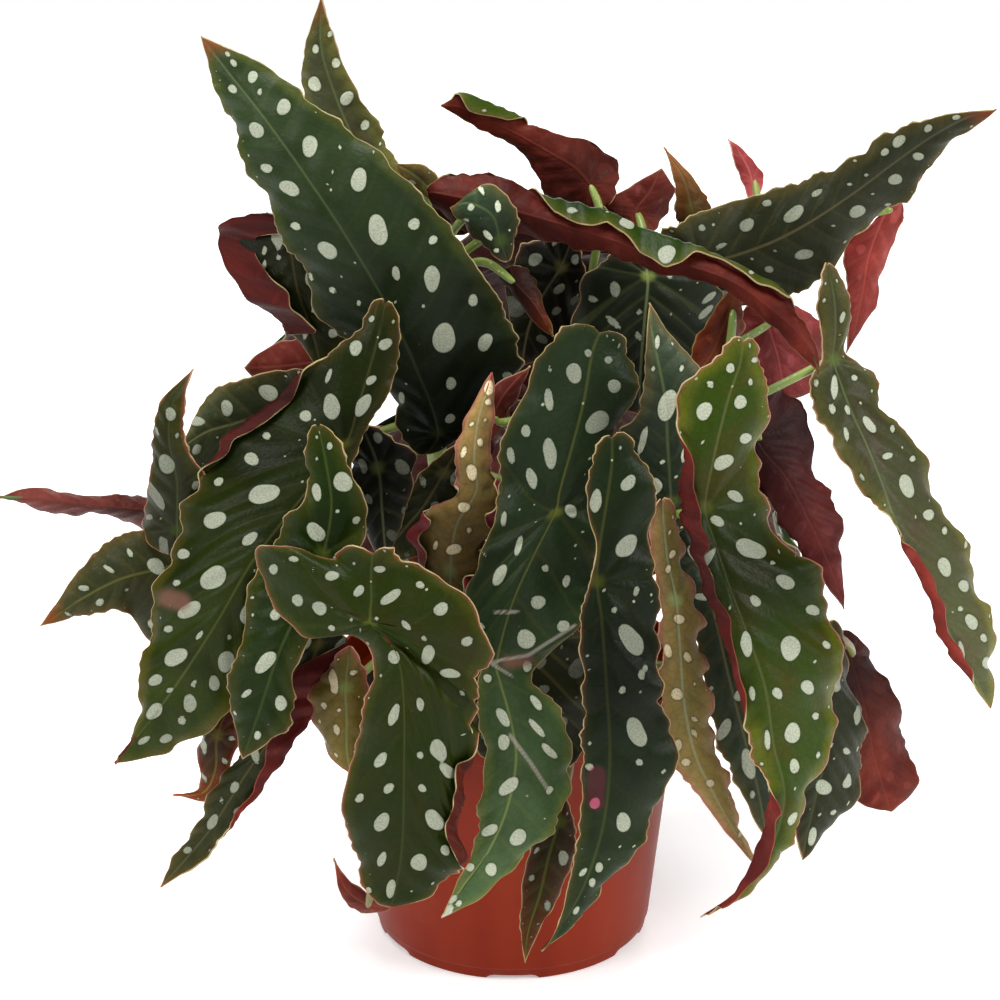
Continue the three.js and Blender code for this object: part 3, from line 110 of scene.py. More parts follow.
COMMON = {
    "joint": 1,  # the row at which the stalk meets the blade
    "turn": 0.6,  # how far the blade faces its own side of the plant
    "under": False,  # whether its wine-red side faces the front
    "ragged": 1,  # its teeth and ruffles are this many times the usual
    "rolls": (),
}
LEAVES = {
    "upper_left": {"tone": "dark", "cup": (0.3, 0.3), "rows": """
        425,455,-34; 398,425 437,433,-36 478,425; 386,378 420,378,-42 520,370;
        327,323 388,308,-46 503,308; 297,260 345,235,-45 455,235; 265,200 303,172,-38 395,168;
        237,140 262,115,-28 318,106; 216,85 228,72,-16 262,64; 200,36,-8"""},
    "top_left_back": {"tone": "olive", "cup": (0.3, 0.3), "rows": """
        408,268,14; 372,235 400,250,14 425,235; 340,170 378,190,16 408,190;
        312,120 345,120,20 378,125; 300,85 328,75,22 350,78; 306,50 320,40,24 334,38; 321,-5,26"""},
    "left_long": {"joint": 3, "tone": "green", "cup": (0.3, 0.6), "turn": 0.42, "rows": """
        385,303,-64; 355,335 376,345,-68 400,350; 300,382 360,400,-72 388,390;
        253,425 345,445,-74 362,440; 205,475 301,498,-80 340,500; 170,555 253,560,-86 300,590;
        150,625 215,625,-88 240,655; 142,685 172,690,-86 232,705; 133,738 140,732,-84 178,748;
        114,764,-82""", "rolls": [{"side": 0, "from": 0.1, "to": 0.42, "width": 4.5}]},
    "left_inner": {"joint": 3, "tone": "green", "cup": (0.15, 0.3), "rows": """
        318,427,-86; 305,458 326,465,-90 350,465; 308,492 331,508,-93 368,525;
        284,522 322,555,-95 351,558; 254,580 300,605,-99 325,612; 241,635 278,655,-102 294,672;
        230,700 260,708,-101 291,722; 242,760,-98"""},
    "front_left": {"joint": 5, "tone": "margin", "cup": (0.2, 0.3), "rows": """
        372,553,-110; 328,560 371,580,-111 402,560; 290,546 371,600,-113 443,581;
        258,548 370,612,-114 476,612; 262,582 370,618,-115 488,655; 300,632 370,622,-116 478,682;
        350,634 380,634,-117 474,712; 373,662 397,654,-119 473,745; 367,702 404,700,-121 458,780;
        346,782 404,775,-124 453,822; 351,848 402,845,-124 460,860; 371,895 395,890,-122 434,893;
        390,908,-121""", "rolls": [{"side": 1, "from": 0.44, "to": 0.88, "width": 4}]},
    "crumpled_gold": {"tone": "gold", "cup": (0.5, 0.5), "ragged": 2, "rows": """
        350,646,-96; 317,683 345,688,-98 368,684; 315,718 346,722,-99 368,724;
        322,745 346,750,-99 364,750; 350,775,-98"""},
    "lower_left_long": {"tone": "dark", "cup": (0.25, 0.3), "rows": """
        322,612,-80; 292,645 318,645,-81 343,640; 270,690 296,690,-82 325,688;
        247,742 272,736,-83 298,732; 222,775 245,775,-83 265,778; 199,820 214,824,-82 227,826;
        177,854 188,856,-80 198,860; 159,888,-78""", "rolls": [
        {"side": 1, "from": 0.08, "to": 0.97, "width": 13, "taper": 0.85}
    ]},
    "left_brown": {"tone": "brown", "cup": (0.4, 0.4), "rows": """
        237,690,-68; 200,735 217,735,-70 239,735; 202,770 215,768,-70 228,772;
        196,790 203,792,-68 211,800; 172,795,-64"""},
    "left_point": {"tone": "grey", "cup": (0.35, 0.35), "rows": """
        212,558,-34; 195,615 192,562,-38 188,524; 150,640 155,570,-42 150,529;
        124,610 118,580,-44 110,539; 82,616 80,600,-44 77,575; 39,627,-42"""},
    "far_left": {"tone": "dark", "cup": (2.4, 1.4), "under": True, "rows": """
        168,512,-14; 150,525 150,511,-18 150,498; 95,515 95,506,-22 95,496;
        40,508 40,499,-24 38,489; -3,497,-24"""},
    "left_upright": {"tone": "olive", "cup": (0.3, 0.5), "rows": """
        178,556,-50; 140,528 176,530,-52 215,530; 152,485 176,482,-54 207,480;
        151,440 168,438,-54 186,441; 163,402 173,400,-52 185,402; 193,368,-50"""},
    "left_back_dark": {"tone": "dark", "cup": (0.3, 0.3), "rows": """
        335,402,-20; 318,440 318,406,-22 318,372; 272,460 273,412,-24 275,371;
        230,480 232,424,-26 235,381; 204,475 206,432,-27 206,397; 181,448,-27"""},
    "left_back_red": {"tone": "dark", "cup": (0.4, 0.4), "under": True, "rows": """
        350,364,6; 325,392 325,362,4 325,332; 286,392 288,366,2 290,340; 258,382 262,368,2 262,350;
        244,368,0"""},
    "left_burgundy": {"tone": "dark", "cup": (0.3, 0.3), "rows": """
        300,218,-12; 238,222 290,240,-14 335,236; 222,243 292,262,-16 345,270;
        250,284 298,292,-18 350,303; 282,318 310,326,-20 350,335; 322,372,-22""", "rolls": [
        {"side": 0, "from": 0.04, "to": 0.85, "width": 19}
    ]},
    "top_olive": {"tone": "olive", "cup": (0.3, 0.3), "rows": """
        433,200,6; 421,194 428,187,4 439,181; 404,180 412,173,2 424,165; 396,164,0"""},
    "top_long_red": {"joint": 2, "tone": "green", "cup": (0.6, 0.9), "under": True, "rows": """
        427,192,-22; 452,222 450,196,-24 456,174; 505,236 502,208,-26 502,180;
        555,241 553,222,-28 552,204; 612,257 612,240,-30 612,222; 670,274 668,260,-34 668,245;
        730,292 728,280,-40 730,268; 770,325 777,314,-46 783,303; 797,352 807,344,-50 812,335;
        820,374,-52""", "rolls": [{"side": 1, "widths": """
            0.24,0; 0.3,11; 0.36,12; 0.42,9.5; 0.46,12; 0.5,16; 0.56,16; 0.6,12; 0.63,7.5; 0.7,6.3;
            0.78,7.2; 0.84,6; 0.88,0"""}]},
    "top_red": {"tone": "green", "cup": (0.4, 0.5), "under": True, "rows": """
        606,205,8; 562,203 590,185,10 617,172; 545,190 575,168,12 602,146;
        530,162 548,152,14 562,137; 508,143 518,135,16 528,125; 480,128 488,120,18 494,111;
        458,116 461,108,18 462,99; 440,106,18""", "rolls": [
        {"side": 1, "from": 0.6, "to": 0.98, "width": 3.5}
    ]},
    "upper_right": {"tone": "dark", "cup": (0.35, 0.3), "rows": """
        655,246,-2; 712,300 700,262,-4 690,217; 760,300 752,250,-6 745,198;
        802,292 800,228,-10 797,182; 852,242 850,196,-12 846,162; 905,195 896,162,-13 888,133;
        942,153 935,135,-13 928,118; 974,126 968,118,-12 965,112; 998,110,-12"""},
    "back_dark_left": {"tone": "night", "cup": (0.3, 0.3), "rows": """
        572,240,0; 540,238 560,268,-2 585,272; 512,262 540,300,-4 578,325;
        508,320 528,330,-5 560,352; 522,366,-5"""},
    "back_dark_right": {"tone": "night", "cup": (0.25, 0.3), "rows": """
        640,248,-14; 592,268 648,276,-16 700,270; 574,320 645,318,-18 722,302;
        582,365 642,352,-19 708,342; 602,398 640,388,-20 676,382; 640,415,-20"""},
    "small_curled": {"tone": "grey", "cup": (0.4, 0.4), "rows": """
        508,262,-40; 487,248 500,240,-41 516,235; 470,232 492,215,-42 514,206;
        458,220 469,203,-42 487,184; 450,208,-41"""},
    "maroon_curl": {"tone": "dark", "cup": (0.7, 0.7), "under": True, "rows": """
        510,266,-36; 500,280 514,282,-37 531,273; 520,303 532,302,-38 542,302;
        538,325 545,322,-38 551,322; 554,338,-37"""},
    "top_red_middle": {"tone": "dark", "cup": (0.4, 0.4), "under": True, "rows": """
        640,236,22; 604,206 636,212,22 666,216; 628,188 650,192,24 674,192; 662,168,26"""},
    "top_gold_point": {"tone": "gold", "cup": (0.3, 0.3), "rows": """
        698,226,34; 677,218 692,206,34 713,208; 674,180 684,178,36 697,186; 664,146,38"""},
    "top_pink": {"tone": "dark", "cup": (0.5, 0.5), "under": True, "rows": """
        753,204,40; 742,182 752,180,42 763,178; 733,158 743,158,44 756,162; 728,138,46"""},
    "right_red_hanging": {"tone": "dark", "cup": (0.4, 0.4), "under": True, "rows": """
        922,176,6; 872,222 890,206,4 904,204; 846,248 870,252,2 891,246; 846,288 863,290,0 878,296;
        848,324 856,324,-1 864,322; 847,354,-2"""},
    "right_drooping": {"joint": 3, "tone": "olive", "cup": (0.35, 0.3), "rows": """
        828,265,-24; 819,300 835,302,-26 848,300; 822,332 836,332,-27 849,330;
        822,360 834,360,-28 846,355; 811,384 842,386,-31 869,372; 822,420 852,412,-36 882,400;
        842,458 868,447,-42 912,442; 869,498 882,482,-46 932,486; 893,522 900,532,-50 956,530;
        917,572 926,588,-53 976,578; 942,636 956,645,-54 991,630; 966,676 978,684,-54 994,676;
        992,709,-53""", "rolls": [{"side": 0, "from": 0.62, "to": 0.98, "width": 3.2}]},
    "right_dark_red": {"tone": "dark", "cup": (0.4, 0.4), "under": True, "rows": """
        766,392,2; 742,446 757,440,0 799,404; 760,486 786,478,-3 815,464;
        782,526 806,516,-6 834,504; 810,564 825,556,-8 841,548; 845,610,-8"""},
    "right_centre": {"joint": 5, "tone": "yellow", "cup": (0.3, 0.35), "rows": """
        744,341,-80; 718,357 740,366,-82 761,362; 684,385 730,395,-85 763,386;
        679,416 722,425,-88 767,420; 687,452 714,460,-90 760,455; 684,503 706,508,-92 760,496;
        691,538 717,548,-95 785,543; 703,577 731,590,-98 815,568; 727,640 750,640,-101 834,625;
        745,698 766,690,-103 840,672; 753,757 774,745,-104 830,738; 771,788 785,796,-104 808,798;
        762,845 771,850,-102 785,850; 734,894 742,889,-99 751,890; 702,918,-96""", "rolls": [
        {"side": 0, "widths": """
            0.12,0; 0.22,10.7; 0.3,9.6; 0.4,8; 0.5,6; 0.54,5.3; 0.63,0; 0.72,0; 0.755,10; 0.8,8.4;
            0.85,8.4; 0.89,6.2; 0.93,3.6; 0.97,1.2; 1,0"""}
    ]},
    "front_centre": {"joint": 4, "tone": "teal", "cup": (0.3, 0.3), "rows": """
        612,437,-102; 592,458 612,465,-104 641,458; 587,508 606,508,-107 655,500;
        596,545 600,546,-109 651,540; 590,580 597,582,-111 653,576; 580,622 602,620,-114 660,630;
        583,686 607,690,-118 658,690; 582,756 610,758,-120 675,746; 580,820 604,822,-121 655,815;
        569,882 586,882,-120 620,868; 556,930 562,926,-118 579,917; 541,952,-117"""},
    "centre": {"joint": 5, "tone": "teal", "cup": (0.3, 0.3), "rows": """
        600,332,-70; 550,341 592,354,-73 632,362; 521,400 584,400,-77 632,404;
        501,445 572,447,-80 612,436; 497,502 560,490,-83 598,480; 487,548 555,512,-85 596,512;
        464,591 535,552,-88 597,548; 468,632 512,603,-91 596,590; 480,664 497,660,-94 577,626;
        478,682 500,682,-97 532,674; 479,716 508,710,-101 557,706; 485,760 516,755,-105 571,755;
        480,806 508,805,-107 566,800; 473,850 489,850,-108 534,848; 455,887 461,890,-108 490,889;
        441,919,-107"""},
    "lower_brown": {"tone": "brown", "cup": (0.35, 0.35), "rows": """
        562,795,-80; 546,824 559,822,-82 574,822; 527,858 549,856,-84 573,855;
        522,897 540,894,-86 562,891; 521,936 528,932,-87 540,926; 525,964,-87"""},
    "gold_right": {"joint": 3, "tone": "gold", "cup": (0.5, 0.5), "ragged": 2, "rows": """
        662,500,-76; 650,525 664,526,-78 678,530; 652,560 668,562,-80 685,565;
        658,596 676,600,-82 695,600; 661,650 680,650,-85 703,650; 659,702 684,702,-88 709,700;
        671,757 695,754,-90 718,752; 700,798 715,796,-91 731,795; 731,838 738,836,-91 746,842;
        760,871,-90"""},
    "dark_right_inner": {"tone": "teal", "cup": (0.3, 0.35), "rows": """
        686,508,-48; 668,556 700,560,-54 735,560; 690,620 716,620,-61 762,622;
        703,680 730,680,-64 776,690; 717,742 745,738,-66 786,745; 740,790 758,787,-67 785,795;
        757,825 765,824,-67 776,825; 768,840,-66"""},
    "right_lower_dark": {"tone": "grey", "cup": (0.35, 0.35), "rows": """
        835,620,-44; 800,650 822,655,-46 847,665; 795,705 825,706,-49 859,712;
        790,760 825,757,-51 864,757; 790,806 815,803,-52 851,801; 797,842 807,838,-52 824,836;
        803,861,-51"""},
    "right_lower_red": {"tone": "dark", "cup": (0.35, 0.35), "under": True, "rows": """
        845,630,-14; 830,662 850,655,-16 872,656; 834,710 864,706,-18 893,697;
        842,762 874,756,-20 909,748; 860,802 886,796,-21 912,790; 892,812,-21"""},
    "gold_centre": {"tone": "gold", "cup": (0.5, 0.5), "ragged": 2, "rows": """
        452,604,-62; 423,566 450,570,-63 478,580; 424,520 456,526,-65 490,542;
        454,494 476,490,-67 500,504; 457,460 474,456,-67 490,462; 464,424 478,420,-66 491,425;
        481,390 487,389,-65 494,392; 492,372,-64""", "rolls": [{"side": 0, "widths": """
            0.04,0; 0.08,8; 0.26,9; 0.36,8; 0.4,0"""}, {"side": 1, "widths": """
            0.04,0; 0.08,10; 0.28,9; 0.32,0; 0.38,0; 0.41,10; 0.58,9.5; 0.62,0"""}]},
    "pink_centre": {"tone": "dark", "cup": (0.5, 0.5), "under": True, "rows": """
        492,440,-57; 482,412 495,414,-57 506,414; 495,386 506,393,-58 519,393; 531,366,-58"""},
    "inner_centre": {"tone": "night", "cup": (0.2, 0.2), "rows": """
        535,598,-74; 498,640 535,640,-75 582,640; 476,700 525,700,-76 588,700;
        478,748 524,748,-76 584,750; 520,786,-76"""},
    "dark_centre_left": {"tone": "dark", "cup": (0.3, 0.3), "rows": """
        460,444,-50; 424,470 444,472,-51 464,482; 399,500 424,505,-52 450,522;
        381,535 399,535,-52 424,553; 380,562,-51"""},
    "inner_left_dark": {"tone": "night", "cup": (0.3, 0.3), "rows": """
        362,425,-54; 348,470 378,468,-55 412,452; 356,520 382,512,-56 408,502; 386,565,-56"""},
    "pointed_centre": {"tone": "grey", "cup": (0.3, 0.3), "rows": """
        674,534,-60; 646,500 672,502,-61 700,496; 622,440 668,444,-62 704,432;
        640,405 666,402,-62 703,386; 645,364 658,360,-61 690,358; 647,328 652,330,-60 665,327;
        650,302,-59"""},
    "back_pink_right": {"tone": "dark", "cup": (0.3, 0.3), "under": True, "rows": """
        772,297,22; 738,318 768,322,20 822,326; 736,356 778,358,18 828,356;
        756,386 782,386,17 814,386; 775,405,16"""},
    "back_maroon_right": {"tone": "dark", "cup": (0.4, 0.4), "under": True, "rows": """
        735,286,-34; 716,308 731,307,-35 742,310; 690,352 712,353,-36 738,352; 694,374,-36"""},
    "low_left_curl": {"tone": "dark", "cup": (0.5, 0.5), "under": True, "rows": """
        392,908,-84; 360,913 368,904,-86 374,896; 343,897 346,889,-87 350,881; 333,858,-86"""},
}
LEAVES = {name: {**COMMON, **own, "rows": rows(own["rows"])} for name, own in LEAVES.items()}

# %% Leaves at the back
# Bearing in degrees from the front, clockwise from above, then the joint's distance out and height
# and the blade's length and width in mm, and how much it droops.
BACK_KEYS = ("bearing", "out", "height", "length", "width", "droop")
BACK_LEAVES = {
    "back_leaf_" + letter: dict(zip(BACK_KEYS, numbers)) for letter, *numbers in (
        ("a", 116, 58, 222, 150, 60, 1.1), ("b", 138, 54, 262, 165, 62, 0.95),
        ("c", 157, 64, 196, 155, 60, 1.2), ("d", 178, 44, 250, 172, 64, 1.0),
        ("e", 201, 64, 200, 160, 60, 1.2), ("f", 221, 54, 256, 165, 62, 0.95),
        ("g", 243, 58, 210, 150, 60, 1.1), ("h", 278, 78, 182, 99, 48, 1.8),
    )
}
# One outline for all: shares of the length with the half width there as a share of the widest.
BACK_OUTLINE = [
    (-0.16, 0), (-0.072, 0.72), (0.05, 0.62), (0.2, 0.98), (0.42, 1), (0.64, 0.74), (0.84, 0.38),
    (1, 0),
]
BACK_JOINT = 2
OUT_RUN = 0.62  # how far a leaf reaches outwards for each mm of its length
FALL_START, FALL_MORE, FALL_LOBE = 0.25, 0.55, 1.1  # the rib's fall, as shares of its length
CUP_DOWN, CUP_BACK = 0.256, 0.192  # how far an edge lies below and behind the rib, for each mm
BACK_LIFT = 0.6  # how much a leaf at the back faces upwards
print("leaves:", len(LEAVES), "and", len(BACK_LEAVES))

# %% [markdown]
# ## From rows to a smooth blade
# The rows give three lines along each leaf: its left edge, its rib and its right edge. A curve is
# drawn through each, and the blade is the sheet between them. Working with arrays, one call gives
# every point of a blade at once: rows along it and columns across it, less than 1.5 mm apart, so
# that the teeth of the margin and the outline of a spot come out clean.

# %% Three lines for a leaf
def leaf_lines(leaf):
    """Left edge, rib and right edge of a leaf, each as an array of places in mm.

    An edge lies deeper than its rib by the cup's share of its distance from the rib, and by the
    blade's turn, which grows with the rib's distance from the middle of the plant."""
    lobe, *body, tip = leaf["rows"]
    left_x, left_y, rib_x, rib_y, rib_depth, right_x, right_y = np.transpose(body)
    rib = placed(rib_x, rib_y, rib_depth)
    slope = leaf["turn"] * rib[:, 0] / 100
    left_cup, right_cup = leaf["cup"]
    lines = []
    for x, y, cup in ((left_x, left_y, left_cup), (rib_x, rib_y, 0), (right_x, right_y, right_cup)):
        aside = x - rib_x
        far = np.hypot(aside, y - rib_y)
        depth = rib_depth + MM_PER_PIXEL * (cup * far + slope * aside)
        lines.append(placed(x, y, depth))
    first, last = (placed(*np.array(end)[:, None]) for end in (lobe, tip))
    return [np.concatenate([first, line, last]) for line in lines]


def back_ways(leaf):
    """Outwards from the pot's axis at a leaf's bearing, and across it."""
    bearing = np.radians(leaf["bearing"])
    out = np.array([-np.sin(bearing), -np.cos(bearing), 0])
    return out, np.array([-out[1], out[0], 0])


def back_lines(leaf):
    """The same three lines for a leaf at the back.

    Its rib starts above the joint, bows outwards and falls to the tip as a parabola. Both edges
    lie lower and further in than the rib."""
    out, across = back_ways(leaf)
    share, half = np.transpose(BACK_OUTLINE)
    half = half * leaf["width"] / 2
    ahead = share**2 * FALL_MORE + share * FALL_START
    down = np.where(share > 0, ahead, share * FALL_LOBE)
    reach = leaf["out"] + share * leaf["length"] * OUT_RUN / leaf["droop"]
    rib = reach[:, None] * out
    rib[:, 2] = leaf["height"] - down * leaf["droop"] * leaf["length"]
    lines = []
    for side in (-1, 0, 1):
        offset = (side * half)[:, None]
        inward = -CUP_BACK * np.abs(offset) * out
        sink = -CUP_DOWN * np.abs(offset) * np.array([0, 0, 1])
        lines.append(rib + offset * across + inward + sink)
    return lines


# %% A smooth curve through points
def unit(a):
    """Vectors made one long."""
    return a / np.maximum(np.linalg.norm(a, axis=-1, keepdims=True), 1e-9)


def on_line(lines, side, u):
    """Points of a Catmull-Rom curve through a line's places, at u counted in rows.

    Before the first place, the other edge goes on, so that the lobe's end is round. After the
    last one, the line is mirrored, so that the tip is pointed."""
    line = lines[side]
    before = 2 * line[0] - line[1] if side == 1 else lines[2 - side][1]
    after = 2 * line[-1] - line[-2]
    p = np.vstack([before, line, after])
    i = np.clip(np.floor(u).astype(int), 0, len(line) - 2)
    t = (u - i)[:, None]
    a, b, c, d = p[i], p[i + 1], p[i + 2], p[i + 3]
    return 0.5 * (
        2 * b + (c - a) * t + (2 * a - 5 * b + 4 * c - d) * t**2 + (3 * b - a - 3 * c + d) * t**3
    )


# %% Even rows along a blade
BLUNT = 1.5  # the coarse model's rows stay this far off the ends, in mm
FINE = 24  # steps of u in each row


def measured(lines, joint, pitch):
    """Lengths along a blade for steps in u, its whole length, its length to the joint, and the
    share of the coarse model's rows at a length. That share sets where each wave lies."""
    u = np.arange((len(lines[1]) - 1) * FINE + 1) / FINE
    points = np.array([on_line(lines, side, u) for side in range(3)])
    steps = np.linalg.norm(np.diff(points, axis=1), axis=-1).mean(axis=0)
    length = np.concatenate([[0], np.cumsum(steps)])
    whole, to_joint = length[-1], length[joint * FINE]
    first = max(1, int(to_joint / pitch + 0.5))
    rest = max(3, int((whole - to_joint) / pitch + 0.5))
    marks = [BLUNT, to_joint, whole - BLUNT], [0, first / (first + rest), 1]
    return u, length, whole, to_joint, lambda s: np.interp(s, *marks)


# %% [markdown]
# ## Waves, teeth and rolled edges
# A begonia's margin is never smooth. It rises and falls in slow waves, it has small uneven teeth a
# few millimetres apart, and where a leaf dries or grows in a crush, its edge turns over and shows
# the red underside. Along the rib the blade sinks a little, and between two side veins it bulges.
# Each of these is a short formula added to the sheet, strongest where the real leaf has it.

# %% Veins
VEIN_LEAN = 0.8  # how far a side vein runs forward for each mm outwards
VEIN_BOW = 0.006
VEIN_SPACING, USUAL_LENGTH = 13.5, 190  # mm between side veins on a leaf of that length
SPACING_RANGE = 0.6, 1.1  # how far the spacing follows a leaf's length, as shares
CLOSER = 0.78  # leaning veins lie closer to each other than their spacing along the rib
FAN = np.pi / 4.2  # between two of the veins that fan out behind the joint


def smooth(low, high, x):
    """A smooth step from 0 at low to 1 at high."""
    t = np.clip((x - low) / (high - low), 0, 1)
    return t * t * (3 - 2 * t)


def veins(x, y, spacing):
    """Where a point lies among the veins: whole numbers are veins. Also the room between two.

    Side veins leave the rib `spacing` apart, lean forward and bow. Behind the first, veins fan
    out from the joint, and the number falls with the angle."""
    far = np.abs(x)
    lean = y - VEIN_LEAN * far - VEIN_BOW * far**2
    angle = np.arctan2(far, y) - np.arctan2(1, VEIN_LEAN)
    place = np.where(lean > 0, lean / spacing, -np.clip(angle, 0, None) / FAN)
    room = np.where(lean > 0, spacing * CLOSER, np.maximum(np.hypot(x, y) * FAN, 0.1))
    return place, room


# %% The margin's waves and teeth
# Each has a height and a pitch in mm, and a half width of the blade from which it is full.
WAVE, WAVE_PITCH, WAVE_WIDTH = 2.2, 34.0, 18.0
TOOTH, TOOTH_PITCH, TOOTH_WIDTH = 1.5, 15.0, 14.0
NICK, NICK_PITCH, NICK_WIDTH = 0.55, 5.2, 8
RUFFLES = (0.5, 2.3, 3), (0.3, 1.37, 1)  # height and mm for each radian, then how often the phase
TOOTH_DRIFT, BEAT_DRIFT, NICK_DRIFT = 17.0, 9.0, 7.3  # mm for each radian of their slow change
SIDE_PHASE = 4.2  # between the left edge and the right
TIP_FADE = 20  # mm from the tip within which nicks and ruffles fade


def margin_waves(s, share, whole, width, phase, ragged):
    """One edge's wave, teeth, nicks and ruffle along the leaf, in mm.

    The wave and the teeth are sines of the share of the leaf, where the coarse model has them too.
    Nicks are a sawtooth and the ruffle two fine sines, both of the length. They fade at the tip."""
    way = share * whole
    wave = WAVE * np.minimum(1, width / WAVE_WIDTH) * np.sin(2 * np.pi * way / WAVE_PITCH + phase)
    tooth = TOOTH * ragged * np.minimum(1, width / TOOTH_WIDTH)
    tooth = tooth * np.sin(2 * np.pi * way / TOOTH_PITCH + 2 * phase)
    tooth = tooth * (0.5 + 0.4 * np.sin(way / TOOTH_DRIFT + 1.7 * phase))
    small = np.minimum(1, width / NICK_WIDTH) * np.clip((whole - s) / TIP_FADE, 0, 1)
    beat = s / NICK_PITCH + 0.5 * np.sin(s / BEAT_DRIFT + phase)
    nick = small * (NICK - 2 * NICK * np.abs(2 * (beat % 1) - 1))
    nick = nick * (0.7 + 0.5 * np.sin(s / NICK_DRIFT))
    fine = sum(height * np.sin(s / run + often * phase) for height, run, often in RUFFLES)
    return wave, tooth, nick, ragged * small * fine


# %% A turned edge
ROLL_RADIUS, ROLL_LEAST = 1.7, 0.5  # mm
ROLL_RAMP = 0.1  # the share of the leaf over which an even roll begins and ends
ROLL_GRAIN = 0.8  # mm between two columns of a roll
ROLL_WAVER, ROLL_DRIFT = 0.12, 5.1  # its width's change as a share, and mm for each radian of that
ROLL_RUFFLE, ROLL_RUN = 0.25, 5  # the share of the margin's ruffle that it has after so many mm
WHOLE_ROLL = 4  # mm turned over from which an edge counts as rolled
TAPER = 0.1, 0.85  # the shares of the leaf between which a tapering roll grows narrower


def roll_width(roll, share):
    """How many mm of an edge are turned over at each share, the most of it, and how much of a roll
    it is there, from 0 to 1."""
    if "widths" in roll:
        over = np.interp(share, *np.transpose(rows(roll["widths"])))
        return over, over.max(), smooth(0, WHOLE_ROLL, over)
    most = np.pi * ROLL_RADIUS + roll["width"]
    part = smooth(roll["from"], roll["from"] + ROLL_RAMP, share)
    part = part * (1 - smooth(roll["to"] - ROLL_RAMP, roll["to"], share))
    part = part * (1 - roll.get("taper", 0) * smooth(*TAPER, share))
    return most * part, most, part


def turn_over(points, x, margin, roll, edge):
    """A half blade with one roll added: its edge goes on round an arc, then straight back over the
    blade's front."""
    s, share, out, up, nick, ruffle, phase = edge
    over, most, part = roll_width(roll, share)
    over = np.maximum(ROLL_LEAST, over) * (1 + ROLL_WAVER * np.sin(s / ROLL_DRIFT + phase))
    over = over + nick * part
    k = np.arange(1, int(most / ROLL_GRAIN) + 1)
    run = over[:, None] * k / k[-1]
    angle = np.minimum(run / ROLL_RADIUS, np.pi)
    straight = run - angle * ROLL_RADIUS
    sideways = ROLL_RADIUS * np.sin(angle) - straight
    rise = ROLL_RADIUS * (1 - np.cos(angle)) + ROLL_RUFFLE * ruffle[:, None] * straight / ROLL_RUN
    rolled = points[:, -1:] + out[:, None] * sideways[..., None] + up[:, None] * rise[..., None]
    return (
        np.concatenate([points, rolled], axis=1),
        np.concatenate([x, x[:, -1:] + run], axis=1),
        np.concatenate([margin + over[:, None], over[:, None] - run], axis=1),
    )


# %% The sheet of one blade
GRAIN = 1.25  # between two rows or columns, in mm
FIRST_ROW, LAST_ROW = 0.35, 0.3  # how far they stay off the ends
SHORT = 0.02  # the step of u by which the rib's direction is found
COLUMNS = 7, 46  # the least and the most in one half
PUFF = 0.055  # the arch's height for each mm of a half's width
QUILT, GROOVE, GROOVE_WIDTH = 0.4, 0.5, 1.6  # bulges between veins, and the sunken rib
LOBE_WIDTH = 0.88  # a round lobe's width as a share of the blade's after its first row
LONG_LOBE = 3  # the joint's row from which a leaf has one


def half_blade(side, edge, rib, along, facing, leaf, way):
    """Points of one half in mm, how far each lies from the rib and from the margin, and its up.

    A point is the rib plus a share v of the way to the edge, plus an arch, a wave that grows with
    v squared, and teeth that grow with a high power of v."""
    s, share, whole, to_joint, first, spacing = way
    reach = edge - rib
    width = np.linalg.norm(reach, axis=1)
    out = unit(reach)
    if leaf["joint"] >= LONG_LOBE:
        t = np.clip(s / first, 0, 1)
        round_end = LOBE_WIDTH * np.interp(first, s, width) * np.sqrt(t * (2 - t))
        width = np.where(s < first, np.maximum(width, round_end), width)
        reach = out * width[:, None]
    up = unit(np.cross(out, along))
    up *= np.where(up @ facing < 0, -1.0, 1.0)[:, None]
    phase = side * SIDE_PHASE + whole
    wave, tooth, nick, ruffle = margin_waves(s, share, whole, width, phase, leaf["ragged"])
    columns = int(np.clip(width.max() / GRAIN, *COLUMNS))
    v = np.arange(1, columns + 1) / columns
    x = width[:, None] * v
    place, _ = veins(x, (s - to_joint)[:, None], spacing)
    quilt = -QUILT * np.cos(2 * np.pi * place) * smooth(0, 5, x) * (1 - v**4)
    lift = PUFF * width[:, None] * 4 * v * (1 - v) + wave[:, None] * v**2
    lift = lift + quilt + ruffle[:, None] * v**4 - GROOVE * np.exp(-((x / GROOVE_WIDTH) ** 2))
    spread = tooth[:, None] * v**6 + nick[:, None] * v**14
    points = rib[:, None] + reach[:, None] * v[:, None] + out[:, None] * spread[..., None]
    points = points + up[:, None] * lift[..., None]
    margin = x[:, -1:] - x
    for roll in leaf["rolls"]:
        if roll["side"] == side:
            turned_edge = (s, share, out, up, nick, ruffle, phase)
            points, x, margin = turn_over(points, x, margin, roll, turned_edge)
    return points, x * (2 * side - 1), np.minimum(margin, s[:, None]), up


